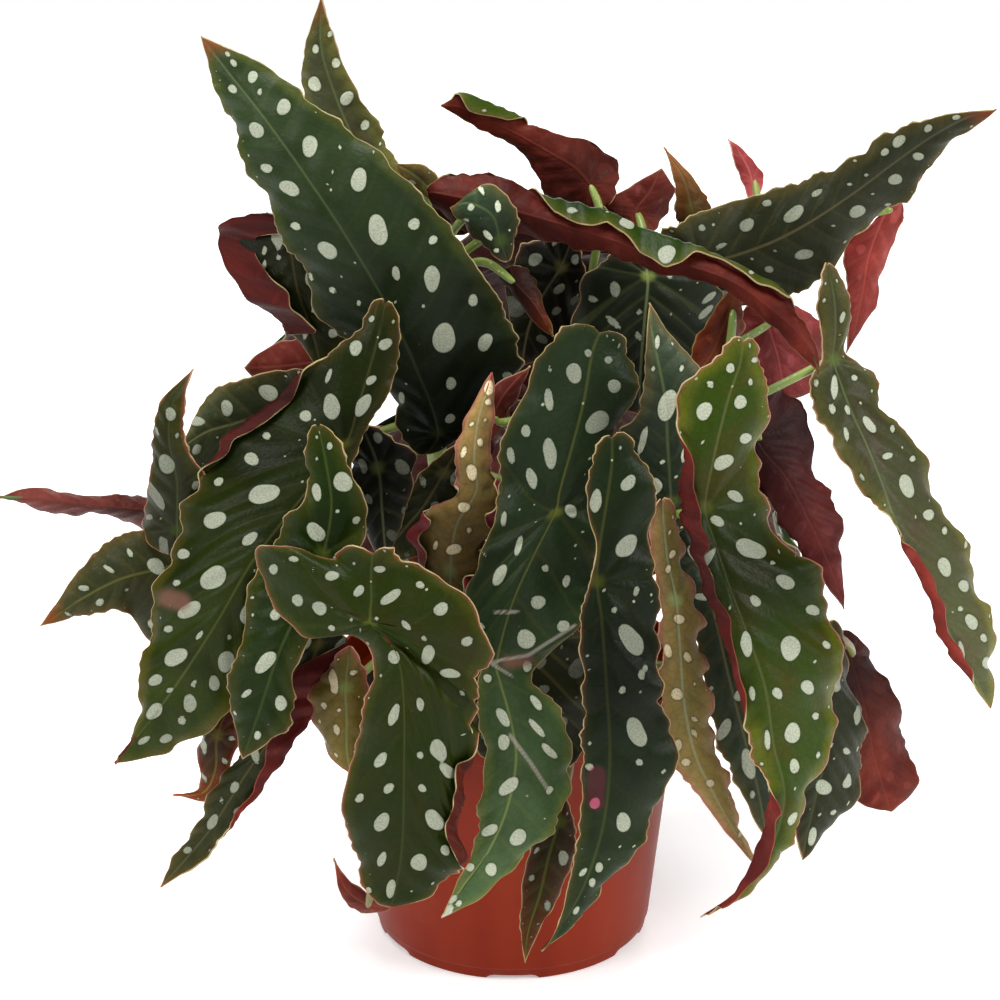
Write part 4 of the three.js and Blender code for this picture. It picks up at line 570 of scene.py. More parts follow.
def blade(lines, leaf, pitch, facing):
    """One blade as a grid of points in mm, with what its skin needs to know about each of them."""
    u_all, length, whole, to_joint, share_at = measured(lines, leaf["joint"], pitch)
    s = np.linspace(FIRST_ROW, whole - LAST_ROW, int(whole / GRAIN))
    u = np.interp(s, length, u_all)
    left, rib, right = (on_line(lines, side, u) for side in range(3))
    ahead = on_line(lines, 1, np.minimum(u + SHORT, len(lines[1]) - 1))
    back = on_line(lines, 1, np.maximum(u - SHORT, 0))
    spacing = VEIN_SPACING * np.clip(whole / USUAL_LENGTH, *SPACING_RANGE)
    way = s, share_at(s), whole, to_joint, np.interp(1, u_all, length), spacing
    halves = [
        half_blade(side, edge, rib, unit(ahead - back), facing, leaf, way)
        for side, edge in enumerate((left, right))
    ]
    sunk = (rib - GROOVE * unit(halves[0][3] + halves[1][3]))[:, None]
    rim = np.minimum(np.minimum(halves[0][2][:, :1], halves[1][2][:, :1]), s[:, None])
    points, x, margin = (
        np.concatenate([one[:, ::-1], middle, other], axis=1)
        for one, middle, other in zip(halves[0], (sunk, np.zeros((len(s), 1)), rim), halves[1])
    )
    y = np.broadcast_to((s - to_joint)[:, None], x.shape)
    place, room = veins(x, y, spacing)
    tip = np.broadcast_to((whole - s)[:, None], x.shape)
    return {
        "points": points, "x": x, "y": y, "place": place, "room": room, "margin": margin,
        "tip": tip,
    }


# %% [markdown]
# ## The silvery spots
# The spots are places where a thin layer of air lifts the skin off the green flesh. Large ones lie
# a finger's width apart, with small ones between them and fine dots near the margin. They could be
# a pattern of cells in the material, but real ones keep clear of the veins and of each other, and
# the large ones of this plant can be measured: the table holds each one's middle, half length, half
# width and turn, as ellipses in the picture. The parts that the picture hides, and the fine dots,
# are thrown like darts, large ones first, and one that lands too near another is dropped. Each grid
# point then stores how deep it lies inside its nearest spot, and the skin paints by that.

# %% Spots that were measured: middle x,y and half axes in pixels, then the turn in degrees
SPOTS = {
    "gold_centre": """
        472,472 8,5.3 75; 464,507 6.5,5 160; 464,452 6.5,2.8 105; 480,442 4,3.2 90;
        472,424 2.8,2 130; 485,420 2.2,2 0; 488,402 3.5,3 0; 489,388 8,4.3 95; 455,491 6,4.5 110;
        469,530 3.5,2.7 90; 454,549 7.5,5.5 165; 436,545 5,2.5 110""",
    "gold_right": """
        672,554 5,3 115; 668,569 4.2,2.8 105; 679,619 5.7,4.8 10; 668,651 6.8,4 80;
        687,657 5.5,3.8 65; 677,694 7,5.5 50; 694,684 2.5,1.6 80; 694,719 4,2.5 30;
        694,733 5.2,2.5 65; 678,745 6.5,4 85; 686,762 4.5,4.2 0; 710,783 4.5,4 0""",
    "left_long": """
        264,494 16,9.5 160; 214,578 14,10.5 135; 332,407 14,8 80; 176,657 12.5,8 145;
        215,520 11,8.5 160; 226,661 11,8 95; 363,405 13.5,6 120; 190,610 12,7 150; 247,614 10,7 105;
        155,711 10.5,6 135; 190,703 9,7 85; 250,539 10,5 140; 356,348 8.5,6 110; 252,459 7.5,6.5 25;
        214,683 8,5.5 75; 385,344 7,5.5 150; 156,680 8,5 150; 306,416 6.5,5.5 50; 184,554 6,5.5 0;
        166,738 6.5,4.5 165; 371,380 6,4 135; 144,740 7.5,3 145; 219,482 5.5,4 135;
        329,376 8,2.5 110; 182,720 5,4 60; 267,436 4.5,4 65; 169,629 5,3.5 165; 177,583 4,3.5 165;
        200,635 6,2.5 125; 372,319 3.5,3 120; 194,683 4.5,2.5 125; 170,690 4,2.5 155;
        229,637 3,2.5 100""",
    "centre": """
        597,422 13.5,9.5 130; 550,453 16.5,6.5 85; 526,639 11,8.5 60; 574,373 10,8 85;
        509,786 12,6.5 135; 500,575 12,5.5 120; 518,837 9,7.5 145; 532,478 12,5 75;
        538,602 7.5,7 50; 503,717 10.5,5 55; 549,400 11.5,4.5 85; 490,830 9,5 145; 504,742 7.5,6 90;
        614,386 7,6.5 125; 537,728 12.5,3.5 50; 549,751 10.5,4 45; 491,869 6.5,6 70;
        519,546 11.5,3.5 105; 511,455 8.5,4 80; 536,703 8.5,4 55; 563,626 6.5,6 30;
        526,431 7,4.5 85; 447,911 8,4.5 135; 566,581 6.5,4 95; 527,666 6.5,4.5 80; 504,519 7.5,3 95;
        470,867 5,4 165; 588,353 4.5,3.5 80; 453,899 5.5,3 135; 608,360 4,4 105; 545,568 4.5,3.5 65;
        550,369 4.5,2 80; 459,903 3.5,3 100""",
    "front_left": """
        438,750 12.5,7.5 70; 434,820 11.5,8 45; 382,822 11,6.5 120; 460,700 10,7 70;
        419,862 9,8 165; 428,654 9.5,6.5 100; 391,597 11.5,5 145; 394,715 12.5,4.5 110;
        320,608 8,6.5 25; 450,673 11,4.5 10; 381,760 9.5,5 130; 441,609 7.5,6.5 140;
        447,771 9.5,5.5 40; 394,657 7.5,5.5 75; 391,888 9,4.5 100; 298,600 6,6 95;
        382,859 8.5,4 110; 332,576 7.5,4.5 170; 359,591 6.5,4.5 125; 467,641 6,5 165;
        420,704 7.5,4 80; 389,788 6.5,4.5 130; 445,850 6,4 55; 274,569 5.5,4.5 110; 406,625 7,3 50;
        380,569 6,3.5 5; 360,798 5,4 140; 420,585 5,3.5 15; 422,788 4.5,3.5 40; 294,559 5.5,3 5;
        420,755 4,3 55; 332,628 4,3 15; 424,638 3.5,2.5 60; 369,890 3.5,3 65""",
    "upper_left": """
        444,338 16,11 100; 378,230 15,9.5 75; 432,278 14.5,7.5 90; 359,180 11.5,8 95;
        310,146 10.5,8 100; 328,250 10.5,7.5 35; 290,188 10.5,7 25; 485,342 9,7 115;
        257,130 9,6.5 40; 284,107 8,7 110; 414,224 6.5,5.5 105; 253,77 6,5 110; 267,168 6.5,4.5 25;
        396,273 7.5,4 75; 451,383 7,5 90; 473,300 6,5 95; 296,226 5.5,4 15; 433,240 5.5,4 120;
        233,89 5,4 30; 402,397 6,3 75; 333,290 4.5,3 25; 234,63 4,3 55; 260,92 3.5,2.5 110;
        228,54 3,2.5 55""",
    "front_centre": """
        631,640 17.5,9.5 60; 636,732 15,9 65; 626,546 14,8.5 135; 596,501 13,5.5 95;
        623,822 9.5,7.5 80; 628,483 9.5,6 125; 595,803 6.5,5 120; 599,867 5,4 100; 641,675 5,3.5 65;
        639,762 4.5,3.5 40; 583,872 6,2.5 130; 592,882 4.5,3.5 95; 636,591 5,3 105;
        614,610 3.5,3 155; 576,910 5,2.5 125; 622,690 4,3.5 105; 645,668 4,2.5 85""",
    "right_centre": """
        750,549 15.5,9 25; 790,648 13.5,9.5 90; 792,733 10,8 85; 723,462 10.5,7 145;
        746,644 14,5.5 85; 704,411 9.5,7.5 105; 785,582 10.5,6.5 20; 807,687 7.5,6.5 70;
        740,402 7.5,6 105; 735,496 9,5 25; 812,610 7,5.5 15; 717,521 7.5,5 25; 794,766 7,5 90;
        745,438 6.5,5 170; 755,601 6.5,5 45; 777,693 7,4.5 60; 767,740 10,3 85; 752,693 8,3 85;
        730,368 5,4.5 80; 770,804 7,2.5 85; 710,384 4.5,3.5 50; 826,645 5,3.5 50; 815,716 4,3.5 75;
        754,360 3.5,3 145; 750,382 3.5,2.5 90; 772,563 3.5,2 175""",
    "right_drooping": """
        906,486 11.5,7 70; 944,567 9.5,6.5 70; 971,622 8.5,5.5 65; 869,425 9.5,4.5 55;
        834,388 13.5,3.5 90; 928,515 6,5.5 40; 963,586 6,5.5 70; 986,663 6.5,4.5 80;
        961,649 10,2.5 75; 846,434 8.5,2.5 80; 832,409 5.5,3.5 75; 887,456 5.5,3.5 160;
        983,638 4.5,3.5 80; 842,317 6,2.5 105; 816,383 5,2.5 85; 847,410 6,2.5 70; 892,429 4,2.5 85;
        854,378 3.5,3 165; 944,531 4,3 95; 912,459 3.5,3 125; 960,609 3,3 90; 862,477 4.5,2 55""",
    "upper_right": """
        794,214 11.5,6.5 145; 747,225 8.5,6 135; 804,254 10,5 165; 857,211 8,6 165;
        895,179 7,5.5 180; 899,141 7.5,5 130; 918,156 5.5,4 180; 817,193 6.5,3 145;
        721,246 8.5,2.5 150; 767,203 5,3.5 160; 775,290 6.5,2.5 25; 885,152 5,3.5 135;
        928,128 5,3.5 140; 769,269 4.5,3.5 20; 702,228 4,3.5 5; 956,117 4,2.5 165""",
    "left_inner": """
        343,482 10.5,9 80; 266,662 13,7 135; 316,532 10.5,8 50; 281,703 8.5,5.5 85;
        317,492 9,4.5 85; 276,614 7,5 110; 356,520 5,3.5 140; 247,693 6,3 145; 258,735 4.5,3.5 90;
        330,446 4,3 110""",
    "left_point": """
        156,566 10.5,7 35; 109,569 7,2.5 35; 84,588 5.5,3 10; 100,602 4.5,3.5 120;
        130,553 5.5,2.5 65""",
    "top_left_back": """
        315,84 7.5,6.5 55; 347,98 7.5,6 130; 365,125 5.5,4.5 105; 336,63 5,4.5 110;
        316,49 4.5,3.5 90; 330,34 3.5,2.5 135""",
    "back_dark_right": """
        615,289 9,5 75; 613,322 11,3.5 45; 705,312 9.5,3.5 135; 709,297 10,3 140;
        593,299 5.5,3.5 30; 638,336 6,3 60; 639,312 3.5,3 75""",
    "lower_brown": "532,878 4,3 135; 537,850 4.5,2 125",
    "dark_right_inner": """
        748,764 15.5,6.5 75; 695,553 10,6.5 60; 723,627 9,4 70; 701,597 8.5,3.5 15""",
    "lower_left_long": "213,822 9,4.5 115; 235,787 6,4.5 120; 188,850 4.5,3.5 145",
    "small_curled": "488,235 7.5,3 50; 471,207 4,3.5 95",
    "left_upright": "167,464 10.5,7.5 75; 171,414 6.5,5.5 75; 150,517 4,3 165",
    "left_back_dark": "227,408 8,6 75",
    "right_lower_dark": """
        823,787 8.5,7.5 10; 812,836 9,4 100; 846,751 4.5,3 45; 833,812 3.5,2.5 155""",
    "back_dark_left": "514,306 14,10 20; 559,289 7,4 135; 542,339 6,4.5 25",
    "pointed_centre": """
        667,405 15.5,9 105; 643,440 14.5,3.5 105; 684,454 9,3 100; 657,342 7.5,2.5 95""",
    "inner_left_dark": "392,535 6.5,5 60; 404,510 4,3 105",
    "left_brown": "232,738 4.5,2.5 180",
}
SPOTS = {name: rows(text) for name, text in SPOTS.items()}
print("measured spots:", sum(map(len, SPOTS.values())))


# %% Throw the others
SPOT_SIZES = [  # radius in mm, the room it needs, and how many darts are thrown
    (3.3, 16.0, 110), (2.3, 10.5, 150), (1.25, 7.0, 120), (0.6, 4.6, 140),
]
SIZES, LENGTHS, TURN_SPREAD = (0.72, 1.25), (1.0, 1.45), 0.6  # how thrown spots differ
ON_BLADE = 1.5  # pixels: the front of the grid points that show so near a middle carries the spot
ROOM, ROOM_GROWTH = 1.2, 4.2  # mm that a measured spot keeps free, and for each mm of its size
OFF_RIB, OFF_MARGIN, OFF_TIP = 1.2, 0.8, 9  # mm between a thrown spot and those
SMALL_TIP, CLOSE_TIP = 70, 80  # mm from the tip within which spots are smaller, and closer
NEAR_MEASURED, NEAR_THROWN = 3.5, 2.5  # how many half lengths or radii away a spot still tells
NO_SPOT = -3.0  # the depth in mm where no spot is near
MANY, APART = 4, 1.9  # with more measured spots than that, large thrown ones need more room


def picture(points):
    """Where points in mm show in the picture, in pixels, and how deep they lie. The rule of
    `placed`, turned round."""
    away = points - EYE
    ahead = away[..., 1] * np.cos(TILT) - away[..., 2] * np.sin(TILT)
    up = away[..., 1] * np.sin(TILT) + away[..., 2] * np.cos(TILT)
    return MIDDLE + FOCUS * away[..., 0] / ahead, MIDDLE - FOCUS * up / ahead, ahead


def normals(points):
    """The direction out of a grid's front at each point, down its rows and along them."""
    down = np.gradient(points, axis=0)
    side = np.gradient(points, axis=1)
    return unit(np.cross(side, down)), unit(down), unit(side)


def turned_axes(a, b, turn):
    """Places in a plane as seen from axes turned by an angle."""
    return a * np.cos(turn) + b * np.sin(turn), b * np.cos(turn) - a * np.sin(turn)


def spots(sheet, rng, amount, known):
    """Depth in mm inside the nearest spot, under 0 outside.

    A measured spot is an ellipse in the picture, on the part of the blade round its middle. A
    thrown one is an ellipse in the plane of the blade at the dart's own point. Both edges waver."""
    points = sheet["points"]
    out, down, side = normals(points)
    flat = points.reshape(-1, 3)
    ways = [a.reshape(-1, 3) for a in (down, side, out)]
    x, margin, tip = (np.abs(sheet[k]).ravel() for k in ("x", "margin", "tip"))
    depth = np.full(len(flat), NO_SPOT)
    centres, rooms = np.zeros((0, 3)), np.zeros(0)
    px, py, deep = picture(flat)
    for cx, cy, long, short, turn in known:
        far = np.hypot(px - cx, py - cy)
        i = np.argmin(np.where(far < far.min() + ON_BLADE, deep, np.inf))
        size = np.sqrt(long * short) * MM_PER_PIXEL
        close = np.linalg.norm(flat - flat[i], axis=1) < NEAR_MEASURED * long * MM_PER_PIXEL
        near = np.flatnonzero(close)
        e, f = turned_axes(px[near] - cx, py[near] - cy, np.radians(turn))
        angle = np.arctan2(f, e)
        waver = 1 + 0.06 * np.sin(2 * angle + cx) + 0.04 * np.sin(3 * angle + cy)
        ratio = np.hypot(e / long, f / short) / waver
        depth[near] = np.maximum(depth[near], (1 - ratio) * size)
        room = ROOM + ROOM_GROWTH * size
        centres, rooms = np.vstack([centres, flat[i]]), np.append(rooms, room)
    for radius, room, darts in SPOT_SIZES:
        if len(known) > MANY and radius > 1:
            room = room * APART
        for i in rng.integers(0, len(flat), int(darts * amount)):
            size = radius * rng.uniform(*SIZES) * (0.45 + 0.55 * smooth(0, SMALL_TIP, tip[i]))
            if x[i] < size + OFF_RIB or margin[i] < size + OFF_MARGIN or tip[i] < OFF_TIP:
                continue
            gap = room * (0.55 + 0.45 * smooth(0, CLOSE_TIP, tip[i]))
            far = np.linalg.norm(centres - flat[i], axis=1)
            if np.any(far < (rooms + gap) / 2):
                continue
            centres, rooms = np.vstack([centres, flat[i]]), np.append(rooms, gap)
            longer = rng.uniform(*LENGTHS)
            turn = rng.normal(0, TURN_SPREAD)
            away = flat - flat[i]
            near = np.flatnonzero(np.abs(away).max(axis=1) < NEAR_THROWN * size)
            a, b, c = (np.einsum("ij,j->i", away[near], way[i]) for way in ways)
            e, f = turned_axes(a, b, turn)
            angle = np.arctan2(f, e)
            waver = 1 + 0.07 * np.sin(2 * angle + rng.uniform(0, 6)) + 0.05 * np.sin(3 * angle + i)
            ratio = np.sqrt((e / longer) ** 2 + (f * longer**0.5) ** 2 + c**2) / (size * waver)
            depth[near] = np.maximum(depth[near], (1 - ratio) * size)
    return depth.reshape(sheet["x"].shape)


# %% [markdown]
# ## From a grid to a Blender mesh
# Every surface here is a grid of points, so one function makes them all. It writes the points and
# the four-sided faces straight into the mesh as arrays, with a map in millimetres and the numbers
# that the skin reads, which is far quicker than making faces one by one.

# %% A mesh from a grid
def grid_faces(along, across):
    """Four corners for each face of a grid, so that the front is where along x across points."""
    first = np.arange(along * across).reshape(along, across)
    corners = [first[:-1, :-1], first[:-1, 1:], first[1:, 1:], first[1:, :-1]]
    return np.stack(corners, axis=-1).reshape(-1, 4)


def ring_faces(rings, sides):
    """The same for a grid whose rows are closed rings."""
    ring = np.arange(rings * sides).reshape(rings, sides)
    after = np.roll(ring, -1, axis=1)
    return np.stack([ring[:-1], after[:-1], after[1:], ring[1:]], -1).reshape(-1, 4)


def make_mesh(name, points, faces, numbers=None, flat_map=None):
    """A smooth mesh in metres from points in mm and faces of equal size."""
    mesh = bpy.data.meshes.new(name)
    points = np.asarray(points, float).reshape(-1, 3)
    faces = np.asarray(faces)
    mesh.vertices.add(len(points))
    mesh.vertices.foreach_set("co", (points * MM).ravel())
    mesh.loops.add(faces.size)
    mesh.loops.foreach_set("vertex_index", faces.ravel().astype(np.int32))
    mesh.polygons.add(len(faces))
    size = faces.shape[1]
    mesh.polygons.foreach_set("loop_start", np.arange(0, faces.size, size, dtype=np.int32))
    mesh.polygons.foreach_set("use_smooth", np.ones(len(faces), bool))
    for key, values in (numbers or {}).items():
        layer = mesh.attributes.new(key, "FLOAT_VECTOR", "POINT")
        layer.data.foreach_set("vector", np.asarray(values, float).ravel())
    if flat_map is not None:
        layer = mesh.uv_layers.new(name="blade")
        layer.data.foreach_set("uv", np.asarray(flat_map).reshape(-1, 2)[faces.ravel()].ravel())
    mesh.update(calc_edges=True)
    mesh.validate()
    return mesh


def weld(mesh):
    """Corners that lie on one point become one corner, so that a turned form closes at its axis."""
    work = bmesh.new()
    work.from_mesh(mesh)
    bmesh.ops.remove_doubles(work, verts=work.verts, dist=1e-7)
    work.to_mesh(mesh)
    work.free()
    return mesh


def add_piece(name, mesh, node, slot, *skins):
    """A finished piece that stands for a node of the measured model."""
    piece = bpy.data.objects.new(name, mesh)
    scene.collection.objects.link(piece)
    for skin in skins:
        mesh.materials.append(skin)
    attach(piece, "root")
    if node:
        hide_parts(node)
    return piece


# %% [markdown]
# ## Colours and nodes
# A material starts from what the real surface is. Colours are read off as sRGB hex values, which a
# shader can't use as they are, so one function turns them to linear light. Another adds a node,
# with its settings and its links, and everything below is built with it. A look is then a list of
# layers, from the flesh outwards, each laid over the last where some number of the surface says.

# %% Helpers for every material
SOFT = {"interpolation_type": "SMOOTHSTEP"}
TIMES, PLUS = {"operation": "MULTIPLY"}, {"operation": "ADD"}


def colour(text):
    """Linear RGBA from an sRGB hex value."""
    value = np.array([int(text[i:i + 2], 16) for i in (0, 2, 4)]) / 255
    linear = np.where(value <= 0.04045, value / 12.92, ((value + 0.055) / 1.055) ** 2.4)
    return (*linear, 1.0)


def feed(tree, node, inputs):
    """Gives sockets of a node, by name or number, a colour in hex, a plain value or a link."""
    for key, value in inputs.items():
        if isinstance(value, bpy.types.NodeSocket):
            tree.links.new(value, node.inputs[key])
        else:
            node.inputs[key].default_value = colour(value) if isinstance(value, str) else value


def add(tree, kind, inputs=(), **settings):
    """Adds a node. Settings are its own options; inputs go by name, or in order."""
    made = tree.nodes.new("ShaderNode" + kind)
    for key, value in settings.items():
        setattr(made, key, value)
    feed(tree, made, inputs if isinstance(inputs, dict) else dict(enumerate(inputs)))
    return made


def new_skin(name):
    """An empty material and its Principled shader."""
    skin = bpy.data.materials.new(name)
    skin.use_nodes = True
    tree = skin.node_tree
    tree.nodes.clear()
    shader = add(tree, "BsdfPrincipled")
    add(tree, "OutputMaterial", [shader.outputs[0]])
    return skin, tree, shader


def layered(tree, paint, *layers):
    """A paint with layers laid over it, as a socket. A layer is its own paint and its strength.
    Where that follows a number of the surface, it is the number, then the two values between which
    the strength changes, and what it is at each of them, which is 0 and 1 if nothing is said."""
    for above, strength, *ends in layers:
        if ends:
            strength = add(tree, "MapRange", (strength, *ends), **SOFT).outputs[0]
        inputs = {0: strength, 6: paint, 7: above}
        paint = add(tree, "Mix", inputs, data_type="RGBA").outputs[2]
    return paint


# %% [markdown]
# ## The upper skin of a leaf
# Living leaf: a waxy clear skin over green flesh. It reflects a soft, slightly broken light, and
# its green gathers in the middle and pales to yellow towards the margin, where the leaf is young or
# well lit. Veins are thin and paler, and sink in. The spots are silvery because of the air under
# the skin, with a thin darker line round them. The tip dries brown first.

# %% What both sides of a leaf share
def stored(tree, name):
    """The three numbers that a mesh stores under a name."""
    kept = add(tree, "Attribute", attribute_name=name)
    return add(tree, "SeparateXYZ", [kept.outputs["Vector"]]).outputs


def leaf_coat(tree):
    """A blade's stored numbers, its veins and its noises, all from its map in units of 100 mm."""
    place, room, margin = stored(tree, "lie")
    spot, tip, blush = stored(tree, "mark")
    lesion, scar, dry = stored(tree, "harm")
    # This stored colour is each leaf's own colour together with painted light and shade, from lobe
    # to tip.
    tint_and_painted_shade = add(tree, "Attribute", attribute_name="tint_and_painted_shade").outputs["Color"]
    flat = add(tree, "UVMap", uv_map="blade").outputs[0]
    x = add(tree, "SeparateXYZ", [flat]).outputs[0]
    from_rib = add(tree, "Math", [x], operation="ABSOLUTE").outputs[0]
    nearest = add(tree, "Math", (place, 0.5), operation="PINGPONG").outputs[0]
    off = add(tree, "Math", (nearest, room), **TIMES).outputs[0]
    side_vein = add(tree, "MapRange", (off, 0.15, 1.1, 1, 0), **SOFT).outputs[0]
    side_vein = add(tree, "Math", (side_vein, 0.3), **TIMES).outputs[0]
    rib = add(tree, "MapRange", (from_rib, 0.002, 0.009, 1, 0), **SOFT).outputs[0]
    near = add(tree, "VectorMath", [flat], operation="LENGTH").outputs["Value"]
    reach = add(tree, "MapRange", (near, 0.05, 0.9, 1, 0.3), **SOFT).outputs[0]
    vein = add(tree, "Math", (side_vein, rib), operation="MAXIMUM").outputs[0]
    vein = add(tree, "Math", (vein, reach), **TIMES).outputs[0]
    # Blotches are 25 mm across, the grain of the skin is 0.7 mm, and the finest veins' net has
    # meshes of 3 mm, which is coarser than the real net, so that it shows.
    broad = add(tree, "TexNoise", {"Vector": flat, "Scale": 4.0, "Detail": 3.0}).outputs[0]
    fine = add(tree, "TexNoise", {"Vector": flat, "Scale": 150.0, "Detail": 2.0}).outputs[0]
    cells = {"Vector": flat, "Scale": 32.0}
    net = add(tree, "TexVoronoi", cells, feature="DISTANCE_TO_EDGE").outputs[0]
    return {
        "flat": flat, "margin": margin, "spot": spot, "tip": tip, "blush": blush, "tint_and_painted_shade": tint_and_painted_shade,
        "lesion": lesion, "scar": scar, "dry": dry, "near": near, "rib": rib, "vein": vein,
        "broad": broad, "fine": fine, "net": net,
    }


def tinted(tree, paint, tint_and_painted_shade):
    """A paint multiplied by a colour that the mesh stores."""
    inputs = {0: 1.0, 6: paint, 7: tint_and_painted_shade}
    return add(tree, "Mix", inputs, data_type="RGBA", blend_type="MULTIPLY").outputs[2]


# %% Upper skin
TONES = {  # middle, margin, width of the margin's colour in mm, blotches; then the spots' two greys
    "dark": ("293e22", "394a20", 5, "213419"),
    "green": ("29430f", "44541a", 6, "1f350c"),
    "margin": ("2e450f", "4c591a", 5, "3a440f"),
    "olive": ("40462a", "575a2c", 6, "44402a"),
    "teal": ("27402e", "34492c", 4, "213627"),
    "grey": ("33432f", "444c30", 5, "2a3a28"),
    "yellow": ("30500f", "536c1a", 7, "3f4c12"),
    "gold": ("645a22", "6e5c2a", 4, "585420", "94886a", "b3a587"),
    "brown": ("38300f", "523017", 5, "482813"),
    # The last tone is the dark green painted much darker: painted shade for leaves deep among the
    # others.
    "night": ("161f10", "20281a", 4, "101609"),
}


def leaf_dots(tree, flat):
    """1 inside fine pale dots, 0 outside. Each 7 mm cell has its own size, and half have none."""
    cells = add(tree, "TexVoronoi", {"Vector": flat, "Scale": 15.0}, feature="F1")
    own = add(tree, "SeparateColor", [cells.outputs["Color"]]).outputs[0]
    size = add(tree, "MapRange", (own, 0.55, 1, 0, 0.085), **SOFT).outputs[0]
    inputs = (cells.outputs["Distance"], size)
    return add(tree, "Math", inputs, operation="LESS_THAN").outputs[0]


def upper_skin(name, middle, margin, width, blotch, dull="7d8272", bright="979b88"):
    """Green flesh under a waxy skin, with silvery spots."""
    skin, tree, shader = new_skin(name)
    c = leaf_coat(tree)
    waver = add(tree, "Math", (c["broad"], width * 1.2), **TIMES).outputs[0]
    inside = add(tree, "Math", (c["margin"], waver), operation="SUBTRACT").outputs[0]
    green = layered(
        tree, middle,
        (blotch, c["broad"], 0.42, 0.66),
        (margin, inside, -width * 0.4, width * 0.6, 1, 0),
        ("11180c", c["net"], 0, 0.12, 0.16, 0),  # the net of the finest veins
        ("6f8a3c", c["near"], 0.008, 0.04, 0.6, 0),  # a pale star over the joint
        ("66753a", add(tree, "Math", (c["vein"], 0.38), **TIMES).outputs[0]),
        ("7ba06c", add(tree, "Math", (c["rib"], 0.13), **TIMES).outputs[0]),
        ("141d0e", c["spot"], -0.8, -0.1, 0, 0.35),  # a darker line round each spot
        ("6e4220", c["tip"], 1.5, 8, 0.8, 0),
    )
    silver = layered(
        tree, dull,
        (bright, c["fine"], 0.3, 0.65),
        ("5f6a50", c["spot"], 0, 0.45, 0.55, 0),
    )
    # Stored numbers make the spots' silver brighter or darker: painted light and shade on the
    # spots.
    gleam = add(tree, "Attribute", attribute_name="gleam").outputs["Color"]
    wound = layered(tree, "3c1c1e", ("8a3450", c["spot"], -0.1, 0.4))
    hurt = (c["broad"], 4.0, c["lesion"])
    hurt = add(tree, "Math", hurt, operation="MULTIPLY_ADD").outputs[0]
    flush = add(tree, "MapRange", (c["margin"], 0.4, 1.8, 0.62, 0), **SOFT).outputs[0]
    # The green is multiplied by the stored colour that carries painted light and shade, and the
    # silver of the spots by their own painted light and shade.
    paint = layered(
        tree, tinted(tree, green, c["tint_and_painted_shade"]),
        (tinted(tree, silver, gleam), c["spot"], -0.12, 0.14, 0, 0.94),
        ("84896f", leaf_dots(tree, c["flat"])),
        ("644338", c["dry"], 0, 3.5, 0.75, 0),
        (wound, hurt, 1.5, 4, 0.92, 0),
        ("9c9488", c["scar"], 0, 0.9, 0.6, 0),
        ("84403a", add(tree, "Math", (flush, c["blush"]), **TIMES).outputs[0]),
        (layered(tree, "99935f", ("b57a69", c["blush"])), c["margin"], 0.1, 0.5, 0.85, 0),
    )
    relief = add(tree, "Math", (c["vein"], -0.6), **TIMES).outputs[0]
    swell = add(tree, "MapRange", (c["spot"], -0.3, 0.5, 0, 0.35), **SOFT).outputs[0]
    relief = add(tree, "Math", (relief, swell), **PLUS).outputs[0]
    cells = add(tree, "MapRange", (c["net"], 0, 0.25, 0, 0.16), **SOFT).outputs[0]
    relief = add(tree, "Math", (relief, cells), **PLUS).outputs[0]
    bump = add(tree, "Bump", {"Strength": 0.55, "Distance": 0.0005, "Height": relief})
    feed(tree, shader, {
        "Base Color": paint, "IOR": 1.42, "Specular IOR Level": 0.1, "Normal": bump.outputs[0],
        "Roughness": add(tree, "MapRange", (c["fine"], 0.3, 0.7, 0.33, 0.46), **SOFT).outputs[0],
    })
    return skin


upper = {tone: upper_skin("waxy_upper_skin_" + tone, *values) for tone, values in TONES.items()}
print("upper skins:", len(upper))

# %% [markdown]
# ## The underside and the cut rim
# Beneath, the same flesh is stained wine-red, the veins stand out as ridges and catch the light,
# and the skin is duller. Where the light falls on it, the red turns pinkish. The rim between both
# skins is a pale pink line, which outlines every leaf.

# %% Underside
def under_skin(name, deep, lit, vein_tint):
    """Wine-red flesh with raised veins and faint marks where the spots lie."""
    skin, tree, shader = new_skin(name)
    c = leaf_coat(tree)
    paint = layered(
        tree, deep,
        (lit, c["broad"], 0.35, 0.65),
        ("38100c", c["net"], 0, 0.2, 0.16, 0),
        (vein_tint, add(tree, "Math", (c["vein"], 0.25), **TIMES).outputs[0]),
        ("8e443c", c["spot"], -0.3, 0.6, 0, 0.22),
        ("6a3a20", c["tip"], 2, 8, 0.5, 0),
        ("96664a", c["margin"], 0.1, 0.55, 0.75, 0),
    )
    relief = add(tree, "Math", (c["vein"], c["net"]), **PLUS).outputs[0]
    bump = add(tree, "Bump", {"Strength": 0.4, "Distance": 0.0006, "Height": relief})
    # The red is multiplied by the stored colour that carries painted light and shade as well as the
    # leaf's own colour.
    feed(tree, shader, {
        "Base Color": tinted(tree, paint, c["tint_and_painted_shade"]), "Specular IOR Level": 0.1,
        "Roughness": add(tree, "MapRange", (c["fine"], 0.3, 0.7, 0.45, 0.62), **SOFT).outputs[0],
        "Normal": bump.outputs[0],
    })
    return skin


wine = under_skin("wine_red_underside", "4c150e", "702a20", "8c4634")


